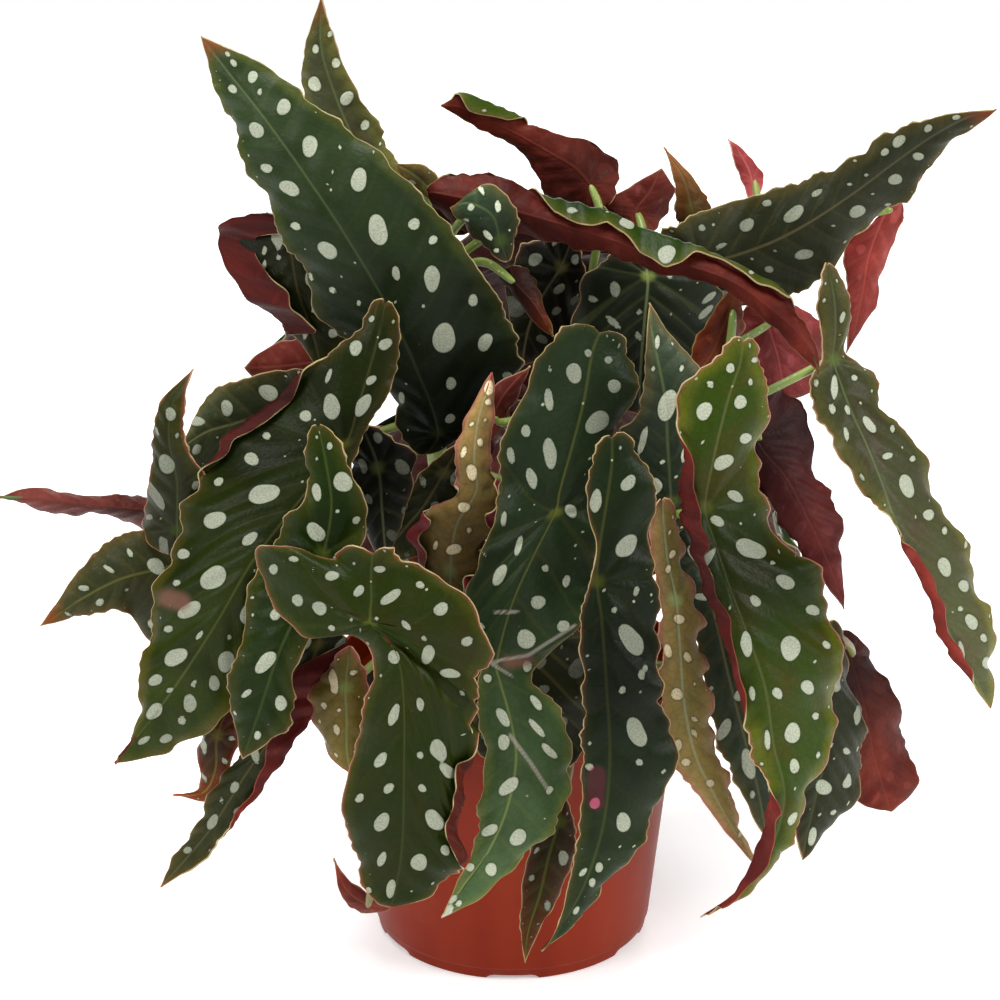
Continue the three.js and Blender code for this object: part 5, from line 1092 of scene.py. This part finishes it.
# %% Rim
def plain_flesh(name, low, high, scale, rough):
    """A fleshy skin in two colours, mixed by noise of so many patches in each metre."""
    skin, tree, shader = new_skin(name)
    where = add(tree, "TexCoord").outputs["Object"]
    noise = add(tree, "TexNoise", {"Vector": where, "Scale": scale, "Detail": 3.0}).outputs[0]
    dull = add(tree, "MapRange", (noise, 0.3, 0.7, rough, rough + 0.12), **SOFT).outputs[0]
    bump = add(tree, "Bump", {"Strength": 0.3, "Distance": 0.0003, "Height": noise})
    paint = layered(tree, low, (high, noise, 0.35, 0.65))
    feed(tree, shader, {"Base Color": paint, "Roughness": dull, "Normal": bump.outputs[0]})
    return skin


rim_flesh = plain_flesh("pale_leaf_rim", "8f8255", "a6986c", 220, 0.5)
print("other skins of a leaf:", wine.name, "and", rim_flesh.name)

# %% [markdown]
# ## Growing the leaves
# Each blade's grid becomes a mesh with a front and a back skin. A real blade is about half a
# millimetre thick, so Solidify gives it that, with the other side's skin behind and the pale rim
# between. A few leaves carry marks from their life: a pink wound, a crease that healed pale, a dry
# patch. They are given as short lines in the picture, and each point stores how far it lies from
# them.

# %% Marks: a line in pixels, from x,y to x,y, then its half width in mm
THICKNESS = 0.55
LESIONS = {"front_centre": "597,774 596,802 2.2"}
SCARS = {"centre": """
    490,662 528,655 0.15; 528,655 575,625 0.15; 492,664 512,676 0.1; 510,735 530,762 0.3;
    530,762 548,790 0.3; 495,612 518,612 0.3"""}
DRY = {"left_long": "168,598 182,602 1.5", "centre": "508,662 528,660 0.5"}
MARKS = (LESIONS, SCARS, DRY)
UNMARKED = 99.0  # mm
print("leaves with marks:", len(set().union(*MARKS)))


def from_marks(points, marks):
    """Distance in mm from each point to the nearest of some lines in the picture."""
    px, py, _ = picture(points)
    nearest = np.full(px.shape, UNMARKED)
    for x0, y0, x1, y1, wide in rows(marks) if marks else ():
        dx, dy = x1 - x0, y1 - y0
        t = np.clip(((px - x0) * dx + (py - y0) * dy) / (dx * dx + dy * dy), 0, 1)
        far = np.hypot(px - x0 - t * dx, py - y0 - t * dy) * MM_PER_PIXEL - wide
        nearest = np.minimum(nearest, far)
    return nearest


# %% How each leaf is coloured
# No two leaves of the plant are alike, and each lies in its own light. The table's heads mean: how
# bright the leaf is at its lobe and at its tip, which is its own colour together with painted light
# and shade for the light that reaches it there, how much redder and bluer than its tone, how bright
# its spots are at both ends, again with painted light and shade, how red its margin, and how many
# spots are thrown on it, as a share of the usual.
LOOKS = """
    leaf                 lobe    tip    red   blue  gleam   fade  blush spotty
    upper_left           0.11   0.93    1.3      1      1    1.3    0.1      1
    top_left_back        1.15   0.69   1.08   1.03      2    1.6    0.2      1
    left_long            0.21   0.59   1.59   0.92    0.9    0.9    0.2      1
    left_inner           0.32   0.29   1.13   0.56      1   1.15    0.2      1
    front_left           0.33   0.28   1.25   0.62   0.88      1    0.6      1
    crumpled_gold        0.55    0.9   1.15    1.1      1      1      1    0.6
    lower_left_long      0.21   0.55    1.9   0.93    0.9    0.7    0.2      1
    left_brown           0.26   1.19    1.9   0.52      1      1    0.6      1
    left_point           0.43   0.69   1.58   0.64    1.2   0.95    0.2      1
    far_left              0.7   1.13   0.83   1.02      1      1    0.2      1
    left_upright          0.2   0.25   1.02   0.45    0.4    0.8    0.6      1
    left_back_dark        0.2   0.96   1.76   1.29      1      1    0.2      1
    left_back_red         1.7    1.7   0.75   1.09      1      1    0.2      1
    left_burgundy         0.2   0.28    1.9    0.8      1      1    0.2      1
    top_olive            0.64    1.7   1.47   1.19      1      1    0.2      1
    top_long_red          0.5   0.58   1.08   0.88      1      1    0.2      1
    top_red               0.4   0.75    1.1   0.75      1      1    0.2      1
    upper_right          0.54   0.46    1.9    1.4   0.75      1    0.1      1
    back_dark_left        0.2    1.1   1.63    1.4   0.45   0.45    0.2      1
    back_dark_right      1.31   0.52   1.22   1.29    1.2    0.7    0.2      1
    small_curled         0.31   1.01   1.01   0.96    2.3    1.7    0.2      1
    maroon_curl           0.2    1.1   0.75   0.58      1      1    0.2      1
    top_red_middle       1.63    1.7   0.75   1.14      1      1    0.2      1
    top_gold_point       0.29   0.93    1.9    1.4      1      1    0.2      0
    top_pink              3.2    3.2    0.8    1.6      1      1    0.2      0
    right_red_hanging     1.8   0.95    1.1    1.2      1      1    0.2      1
    right_drooping       0.54   1.32   1.11   1.09   1.25    1.3    0.4      1
    right_dark_red       0.22   1.25   0.85   1.35      1      1    0.2      1
    right_centre         0.56    0.6    1.5      1   1.35   1.35    0.7      1
    front_centre         0.27   0.45   1.35    0.5   0.85   1.25    0.2      1
    centre                0.4    2.1   1.45   0.68    0.6    1.8    0.2      1
    lower_brown           0.2    0.6   1.15   0.35    0.6    0.6    0.2      1
    gold_right           1.15   1.55   1.15    1.9    1.5    0.9    0.8    0.2
    dark_right_inner     0.43   0.56    1.9      1      1    0.8    0.2      1
    right_lower_dark     0.33   0.32   1.43   0.61   0.85    1.3    0.2      1
    right_lower_red       0.2      1   1.06   0.79      1      1    0.2      1
    gold_centre           0.6    1.9   1.25    1.9      1    2.3      1    0.2
    pink_centre          1.12    1.7   0.75   1.14      1      1    0.2      1
    inner_centre         1.63   0.65   1.48   0.99    0.5    0.5    0.2      1
    dark_centre_left     0.22   1.09    1.9    1.4    0.5    0.5    0.2      1
    inner_left_dark       0.3    1.4   1.34    1.4   0.45   0.45    0.2      1
    pointed_centre       0.57    1.2   1.21   1.13    2.2    1.9    0.2      1
    back_pink_right       1.5    1.2   0.95    1.5      1      1    0.2      1
    back_maroon_right     0.9    1.7   0.75   0.45      1      1    0.2      1
    low_left_curl        0.96    1.7   0.89    0.9      1      1    0.2      1"""
heads, *lines = LOOKS.strip().split("\n")
LOOKS = {
    name: dict(zip(heads.split()[1:], map(float, numbers)))
    for name, *numbers in map(str.split, lines)
}
UNSEEN = {"red": 1, "blue": 1, "gleam": 1, "fade": 1, "blush": 0.2, "spotty": 1}
SHADED = {  # a shadow across the leaf: how far down it, its half width, and how dark
    "right_centre": (0.36, 0.15, 0.72), "front_centre": (0.43, 0.2, 0.65),
}
RUSTY = ("upper_left", "upper_right", "top_left_back", "left_point")  # their tips are dry for long
print("leaves with a look of their own:", len(LOOKS))


# %% Grow them
def grow(name, seed, leaf, lines, pitch, facing):
    """One leaf: its grid, its spots and its marks, made into a thin two-sided piece."""
    rng = np.random.default_rng(1000 + seed)
    sheet = blade(lines, leaf, pitch, facing)
    points = sheet["points"]
    look = LOOKS.get(name, UNSEEN)
    spot = spots(sheet, rng, look["spotty"], SPOTS.get(name, ()))
    lobe, end = look.get("lobe", rng.uniform(0.4, 0.5)), look.get("tip", rng.uniform(0.6, 0.8))
    # Brightness from lobe to tip: the leaf's own colour together with painted light and shade.
    shade = lobe + (end - lobe) * smooth(0, 1, sheet["y"] / sheet["y"].max())
    at, wide, dim = SHADED.get(name, (0.5, 1, 0))
    down = 1 - sheet["tip"] / sheet["tip"].max()
    shadow = dim * np.exp(-(((down - at) / wide) ** 2))
    tint_and_painted_shade = (shade * (1 - shadow))[..., None] * np.array([look["red"], 1, look["blue"]])
    # The spots' brightness from lobe to tip, dimmed under the painted shadow: painted light and
    # shade.
    gleam = (look["gleam"] + (look["fade"] - look["gleam"]) * down) * (1 - 0.7 * shadow)
    tip = sheet["tip"] * (0.55 if name in RUSTY else 1.8)
    corners = grid_faces(*spot.shape)
    if (normals(points)[0] @ facing).mean() < 0:
        corners = corners[:, ::-1]
    numbers = {
        "lie": np.stack([sheet["place"], sheet["room"], sheet["margin"]], -1),
        "mark": np.stack([spot, tip, np.full_like(tip, look["blush"])], -1),
        "tint_and_painted_shade": tint_and_painted_shade,
        "gleam": np.repeat(gleam[..., None], 3, axis=-1),
        "harm": np.stack([from_marks(points, kind.get(name)) for kind in MARKS], -1),
    }
    flat_map = np.stack([sheet["x"], sheet["y"]], -1) / 100
    mesh = make_mesh("skin_" + name, points, corners, numbers, flat_map)
    top = upper[leaf["tone"]]
    sides, slot = (top, wine), "leaf_" + leaf["tone"]
    if leaf["under"]:
        sides, slot = (wine, top), "leaf_underside"
    piece = add_piece("leaf_" + name, mesh, name, slot, *sides, rim_flesh)
    solid = piece.modifiers.new("thickness", "SOLIDIFY")
    solid.thickness, solid.offset = THICKNESS * MM, 0.0
    solid.material_offset, solid.material_offset_rim = 1, 2
    return len(mesh.polygons) * 4  # two triangles on each of its two sides


PITCH, BACK_PITCH = 14.0, 20.0  # mm between two rows of the coarse model's leaves
BACK_SEED = 100
faces = 0
for seed, (name, leaf) in enumerate(LEAVES.items()):
    lines = leaf_lines(leaf)
    centre = on_line(lines, 1, np.array([len(leaf["rows"]) / 2]))[0]
    faces += grow(name, seed, leaf, lines, PITCH, unit(EYE - centre))
for seed, (name, place) in enumerate(BACK_LEAVES.items(), BACK_SEED):
    facing = unit(back_ways(place)[0] + np.array([0, 0, BACK_LIFT]))
    leaf = {**COMMON, "joint": BACK_JOINT, "tone": "dark"}
    faces += grow(name, seed, leaf, back_lines(place), BACK_PITCH, facing)
print("triangles in the leaves:", faces)

# %% [markdown]
# ## Canes and leaf stalks
# A cane is a fleshy stem that turns woody, and its leaf stalks are round, juicy and pale green,
# flushed with red where the sun reaches. The measured model already runs each stalk to its leaf, so
# a copy of it is refined: its corners are joined, it is swelled a little, because rounding shrinks
# a thin tube, and Subdivision Surface rounds it.

# %% Stalk skin
def stalk_skin():
    """Pale green flesh, woody at its foot, flushed with red, with fine pale pores."""
    skin, tree, shader = new_skin("fleshy_green_stalk")
    where = add(tree, "TexCoord").outputs["Object"]
    # The flush comes and goes over 36 mm. Pores lie 2.4 mm apart, coarser than real ones, to show.
    broad = add(tree, "TexNoise", {"Vector": where, "Scale": 28.0, "Detail": 2.0}).outputs[0]
    height = add(tree, "SeparateXYZ", [where]).outputs[2]
    pores = add(tree, "TexVoronoi", {"Vector": where, "Scale": 420.0}).outputs["Distance"]
    paint = layered(
        tree, "5f7430",
        ("7f8f44", broad, 0.35, 0.65),
        ("8c5038", broad, 0.56, 0.74, 0, 0.6),
        ("5f4a2c", height, 0.09, 0.17, 0.75, 0),
        ("c3c79a", pores, 0.1, 0.24, 0.45, 0),
    )
    bump = add(tree, "Bump", {"Strength": 0.25, "Distance": 0.0003, "Height": pores})
    feed(tree, shader, {"Base Color": paint, "Roughness": 0.42, "Normal": bump.outputs[0]})
    return skin


# %% Refine the canes
SWELL = 0.3  # mm
ROUNDINGS = 2


def joined(source):
    """Points in mm and triangles of a mesh whose corners at one place are made one."""
    corners = np.zeros(len(source.vertices) * 3)
    source.vertices.foreach_get("co", corners)
    places, merged = np.unique(
        np.round(corners.reshape(-1, 3) / MM, 3), axis=0, return_inverse=True
    )
    triangles = np.zeros(len(source.polygons) * 3, int)
    source.polygons.foreach_get("vertices", triangles)
    triangles = merged.ravel()[triangles].reshape(-1, 3)
    twice = (np.diff(np.sort(triangles, axis=1), axis=1) == 0).any(axis=1)
    return places, triangles[~twice]


stalk = stalk_skin()
for name in ("cane_left", "cane_front", "cane_right", "cane_back_left", "cane_back_right"):
    places, triangles = joined(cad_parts[name].data)
    a, b, c = (places[triangles[:, k]] for k in range(3))
    out = np.zeros_like(places)
    for k in range(3):
        np.add.at(out, triangles[:, k], unit(np.cross(b - a, c - a)))
    mesh = make_mesh("flesh_" + name, places + SWELL * unit(out), triangles)
    piece = add_piece("stem_" + name, mesh, name, "stem", stalk)
    round_off = piece.modifiers.new("round", "SUBSURF")
    round_off.levels = round_off.render_levels = ROUNDINGS
    print(name, len(triangles), "triangles before rounding")

# %% [markdown]
# ## The pot
# A grower's pot is moulded in one shot from polypropylene, with a thin wall. The mould gives it a
# satin skin, a band under the rim to stack by, a small step round the foot, and channels under the
# base so that water runs out. It is a profile turned round the axis, with the channels pressed into
# the foot by a formula and the drain holes cut.

# %% Pot skin
def pot_skin():
    """Terracotta-coloured polypropylene: satin, with faint flow streaks from the mould."""
    skin, tree, shader = new_skin("moulded_polypropylene")
    where = add(tree, "TexCoord").outputs["Object"]
    # Streaks are 17 mm wide and ten times as long, dust lies in patches of 29 mm, and the mould's
    # own grain is 1 mm, coarser than a real one, so that it shows.
    upright = add(tree, "Mapping", {"Vector": where, "Scale": (60, 60, 6)}).outputs[0]
    streak = add(tree, "TexNoise", {"Vector": upright, "Scale": 1.0, "Detail": 3.0}).outputs[0]
    dust = add(tree, "TexNoise", {"Vector": where, "Scale": 35.0, "Detail": 6.0}).outputs[0]
    paint = layered(
        tree, "721c04", ("7a2308", streak, 0.3, 0.7), ("8a4228", dust, 0.55, 0.8, 0, 0.2)
    )
    fine = add(tree, "TexNoise", {"Vector": where, "Scale": 900.0, "Detail": 2.0}).outputs[0]
    bump = add(tree, "Bump", {"Strength": 0.15, "Distance": 0.0002, "Height": fine})
    feed(tree, shader, {
        "Base Color": paint, "IOR": 1.49, "Specular IOR Level": 0.12, "Normal": bump.outputs[0],
        "Roughness": add(tree, "MapRange", (dust, 0.3, 0.7, 0.36, 0.5), **SOFT).outputs[0],
    })
    return skin


# %% Turn the pot
HEIGHT, FOOT, SLOPE = 108.0, 52.4, 0.108  # the foot's radius, and what a mm of height adds to it
WALL, FLOOR = 1.8, 3.0
BAND, BAND_STEP = 14.0, 2.6  # the band's height, and how far it stands out
STEP, INSET = 4.0, 0.8  # the same for the step round the foot
ROUNDING, SIDES = 0.55, 192
CHANNELS, CHANNEL_WIDTH, CHANNEL_HEIGHT, CHANNEL_IN = 6, 17.5, 1.7, 38.4
CHANNEL_EDGE = 0.4  # mm each way, over which a channel's side rises


def outside(z):
    """The wall's outer radius at a height."""
    return FOOT + SLOPE * z


def turned(profile, sides):
    """Points and quads of a profile turned round the axis. Where it meets the axis, all corners of
    that ring are one point, and `weld` makes its quads triangles."""
    radius, z = np.asarray(profile, float).T
    angle = np.arange(sides) * 2 * np.pi / sides
    points = np.stack([
        radius[:, None] * np.sin(angle), -radius[:, None] * np.cos(angle),
        np.broadcast_to(z[:, None], (len(z), sides)),
    ], -1)
    return points, ring_faces(len(z), sides)


def rounded(corners, radius, steps=5):
    """A profile whose inner corners are rounded: each becomes a short curve between points that
    lie `radius` before and after it, or less where the profile's line is short."""
    corners = np.asarray(corners, float)
    out = [corners[0]]
    for before, here, after in zip(corners, corners[1:], corners[2:]):
        a = here + unit(before - here) * min(radius, 0.45 * np.linalg.norm(before - here))
        b = here + unit(after - here) * min(radius, 0.45 * np.linalg.norm(after - here))
        t = np.linspace(0, 1, steps)[:, None]
        out.extend((1 - t) ** 2 * a + 2 * t * (1 - t) * here + t**2 * b)
    out.append(corners[-1])
    return np.array(out)


low = HEIGHT - BAND
profile = rounded([
    (0, FLOOR), (outside(FLOOR) - WALL, FLOOR), (outside(low) - WALL, low),
    (outside(low) + BAND_STEP - WALL, low + WALL), (outside(HEIGHT) + BAND_STEP - WALL, HEIGHT),
    (outside(HEIGHT) + BAND_STEP, HEIGHT), (outside(low) + BAND_STEP, low + 1),
    (outside(low), low), (outside(STEP), STEP + INSET), (outside(STEP) - INSET, STEP),
    (outside(0) - INSET, 0), (CHANNEL_IN + 0.1, 0), (CHANNEL_IN, 0), (0, 0),
], ROUNDING)
points, quads = turned(profile, SIDES)
angle = np.arange(SIDES) * 2 * np.pi / SIDES
pitch = 2 * np.pi / CHANNELS
off = np.abs((angle + pitch / 2) % pitch - pitch / 2) * FOOT
half = CHANNEL_WIDTH / 2
lift = CHANNEL_HEIGHT * (1 - smooth(half - CHANNEL_EDGE, half + CHANNEL_EDGE, off))
reach = np.hypot(points[..., 0], points[..., 1])
in_channel = (reach > CHANNEL_IN) & (points[..., 2] < CHANNEL_HEIGHT)
points[..., 2] = np.where(in_channel, np.maximum(points[..., 2], lift), points[..., 2])
pot_mesh = weld(make_mesh("pot_wall", points, quads[:, ::-1]))
pot = add_piece("grower_pot", pot_mesh, "pot", "pot", pot_skin())

# %% Cut the drain holes
DRAIN_RADIUS, DRAIN_RING, DRAIN_SIDES = 4.0, 34.0, 32
DRILL_LOW, DRILL_HIGH = -3, 9  # it cuts between these heights, through the whole floor
HAIR = 0.001  # radians, so that no corner of a hole falls on an edge of the floor
points, quads = turned(
    [(0, DRILL_LOW), (DRAIN_RADIUS, DRILL_LOW), (DRAIN_RADIUS, DRILL_HIGH), (0, DRILL_HIGH)],
    DRAIN_SIDES,
)
points = points.reshape(-1, 3)
turn = 2 * np.pi * (np.arange(CHANNELS) + 0.5) / CHANNELS + HAIR
middle = DRAIN_RING * np.stack([np.sin(turn), -np.cos(turn), 0 * turn], -1)
rods = points + middle[:, None]
rod_quads = quads + len(points) * np.arange(CHANNELS)[:, None, None]
drill = bpy.data.objects.new("drill", weld(make_mesh("drill", rods, rod_quads.reshape(-1, 4))))
scene.collection.objects.link(drill)
cut = pot.modifiers.new("drain holes", "BOOLEAN")
cut.operation, cut.object, cut.solver = "DIFFERENCE", drill, "EXACT"
seen = pot.evaluated_get(bpy.context.evaluated_depsgraph_get())
drained = bpy.data.meshes.new_from_object(seen)
pot.modifiers.clear()
pot.data = drained
bpy.data.objects.remove(drill)
print("pot faces:", len(drained.polygons))

# %% [markdown]
# ## The soil
# Potting soil is fibrous peat with bark and a few white grains of perlite. From above it shows
# between the stems as a dark, crumbly, slightly heaped floor. Its top is a turned profile roughened
# by waves of many sizes, and crumbs and grains lie on it as small separate lumps.

# %% Soil
def rough(points, pitch, rng, count=7):
    """Unevenness between -1 and 1: sine waves of about one pitch, in random directions."""
    ways = unit(rng.normal(size=(count, 3))) * 2 * np.pi / pitch
    turns = rng.uniform(0, 2 * np.pi, count)
    return np.sin(points @ ways.T + turns).sum(-1) / count**0.5 / 1.6


def soil_skin(name, dark, light):
    """A dull crumbly solid in two shades: peat is near black with brown fibres, perlite white."""
    skin, tree, shader = new_skin(name)
    where = add(tree, "TexCoord").outputs["Object"]
    # Clumps of fibre are 6 mm across, with ever finer ones on them.
    broad = add(tree, "TexNoise", {"Vector": where, "Scale": 160.0, "Detail": 6.0}).outputs[0]
    paint = layered(tree, dark, (light, broad, 0.4, 0.7))
    bump = add(tree, "Bump", {"Strength": 0.9, "Distance": 0.0012, "Height": broad})
    feed(tree, shader, {"Base Color": paint, "Roughness": 0.92, "Normal": bump.outputs[0]})
    return skin


SOIL_TOP = 93.0
GAP = 0.35  # between the soil and the pot
SHOULDER = 6  # mm from the soil's edge, where its heap falls off
SOIL_SIDES, RINGS, EDGE_RINGS = 160, 44, 6
ROUGHNESS = (0.8, 9), (0.5, 3.5), (0.3, 1.6)  # height and pitch in mm
side = outside(SOIL_TOP) - WALL - GAP


def heap(radius):
    """The soil's height at a distance from the axis."""
    return np.interp(radius, [0, 20, side - SHOULDER, side], [94, 94.5, 93, 90.4])


radii = np.concatenate([
    np.linspace(0, side - SHOULDER, RINGS), np.linspace(side - 5, side - 0.4, EDGE_RINGS),
])
bottom = FLOOR + GAP
outline = np.vstack([
    np.stack([radii, heap(radii)], 1),
    [[outside(60) - WALL - GAP, 60], [outside(FLOOR) - WALL - GAP, bottom], [0, bottom]],
])
rng = np.random.default_rng(7)
points, quads = turned(outline, SOIL_SIDES)
bumpy = sum(height * rough(points, pitch, rng) for height, pitch in ROUGHNESS)
loose = slice(1, RINGS + 2)
points[loose, :, 2] += bumpy[loose]
peat = soil_skin("moist_peat", "1d130d", "3d2a1d")
perlite = soil_skin("perlite", "b9b3a4", "dedacd")
soil_mesh = weld(make_mesh("soil_heap", points, quads[:, ::-1]))
add_piece("soil_heap", soil_mesh, "soil", "soil", peat)
print("soil faces:", len(soil_mesh.polygons))

# %% Crumbs and grains on the soil
LUMP_RINGS, LUMP_SIDES = 6, 8


def lumps(name, count, small, large, skin):
    """Small uneven lumps lying on the soil, all in one piece. Each is a ball of a few faces."""
    polar = np.linspace(0, np.pi, LUMP_RINGS)
    around = np.arange(LUMP_SIDES) * 2 * np.pi / LUMP_SIDES
    ball = np.stack([
        np.sin(polar)[:, None] * np.cos(around), np.sin(polar)[:, None] * np.sin(around),
        np.broadcast_to(np.cos(polar)[:, None], (LUMP_RINGS, LUMP_SIDES)),
    ], -1)
    distance = np.sqrt(rng.uniform(0, 1, count)) * (side - SHOULDER - 1)
    turn = rng.uniform(0, 2 * np.pi, count)
    size = rng.uniform(small, large, (count, 1, 1, 1))
    squeeze = rng.uniform(0.6, 1.3, (count, 1, 1, 3))
    dents = rough(ball * 3 + rng.normal(size=(count, 1, 1, 3)) * 9, 2.5, rng)
    shape = ball * (1 + 0.25 * dents[..., None])
    height = heap(distance) + 0.35 * size[:, 0, 0, 0]
    at = np.stack([distance * np.cos(turn), distance * np.sin(turn), height], -1)
    points = shape * size * squeeze + at[:, None, None]
    quads = ring_faces(LUMP_RINGS, LUMP_SIDES)[:, [0, 3, 2, 1]]
    quads = quads + LUMP_RINGS * LUMP_SIDES * np.arange(count)[:, None, None]
    mesh = weld(make_mesh(name, points, quads.reshape(-1, 4)))
    add_piece(name, mesh, None, "soil", skin)
    print(name, count)


lumps("peat_crumbs", 420, 0.8, 2.4, peat)
lumps("perlite_grains", 60, 0.7, 1.6, perlite)

# %% [markdown]
# ## Light and floor
# The plant stands on a white floor under large soft lights, so that its shadow is faint and the
# leaves' gloss is broad. The world gives an even white light from all sides.

# %% Floor
FLOOR_RADIUS, FLOOR_SIDES, FLOOR_DROP = 1300.0, 64, 0.2  # mm
turn = np.arange(FLOOR_SIDES) * 2 * np.pi / FLOOR_SIDES
disc = FLOOR_RADIUS * np.stack([np.cos(turn), np.sin(turn), 0 * turn], -1)
floor_mesh = make_mesh("floor", disc, np.arange(FLOOR_SIDES)[None])
floor = bpy.data.objects.new("floor", floor_mesh)
floor.location.z = -FLOOR_DROP * MM
scene.collection.objects.link(floor)
white, tree, shader = new_skin("white_paper")
where = add(tree, "TexCoord").outputs["Object"]
fibre = add(tree, "TexNoise", {"Vector": where, "Scale": 40.0}).outputs[0]  # 25 mm patches
feed(tree, shader, {
    "Base Color": layered(tree, "f4f4f2", ("fafafa", fibre)), "Roughness": 0.9,
    "Specular IOR Level": 0.1, "Emission Color": (1, 1, 1, 1), "Emission Strength": 0.3,
})
floor_mesh.materials.append(white)
print("floor radius in mm:", FLOOR_RADIUS)

# %% Lights
WORLD_LIGHT = 0.06  # for what it lights; the camera sees it white
world = bpy.data.worlds.new("studio")
scene.world = world
world.use_nodes = True
tree = world.node_tree
seen = add(tree, "LightPath").outputs["Is Camera Ray"]
strength = add(tree, "MapRange", (seen, 0, 1, WORLD_LIGHT, 1), **SOFT).outputs[0]
feed(tree, tree.nodes["Background"], {"Color": (1, 1, 1, 1), "Strength": strength})


def soft_light(name, place, aim, size, watts):
    """A square area light at a place in metres, turned to what it lights."""
    lamp = bpy.data.lights.new(name, "AREA")
    lamp.size, lamp.energy = size, watts
    made = bpy.data.objects.new(name, lamp)
    made.location = place
    made.rotation_euler = (Vector(aim) - Vector(place)).to_track_quat("-Z", "Y").to_euler()
    scene.collection.objects.link(made)


soft_light("top", (-0.3, -0.3, 2.1), (0, 0, 0.2), 1.0, 52)
soft_light("left", (-1.8, -0.9, 1.0), (0, 0, 0.2), 0.9, 26)
soft_light("right", (1.8, -0.7, 1.0), (0, 0, 0.2), 0.9, 34)
soft_light("front", (0.0, -2.3, 0.9), (0, 0, 0.15), 0.8, 9)
soft_light("back", (0.2, 1.8, 1.3), (0, 0, 0.2), 1.0, 22)
scene.view_settings.view_transform = "Standard"
print("lights:", len(bpy.data.lights))
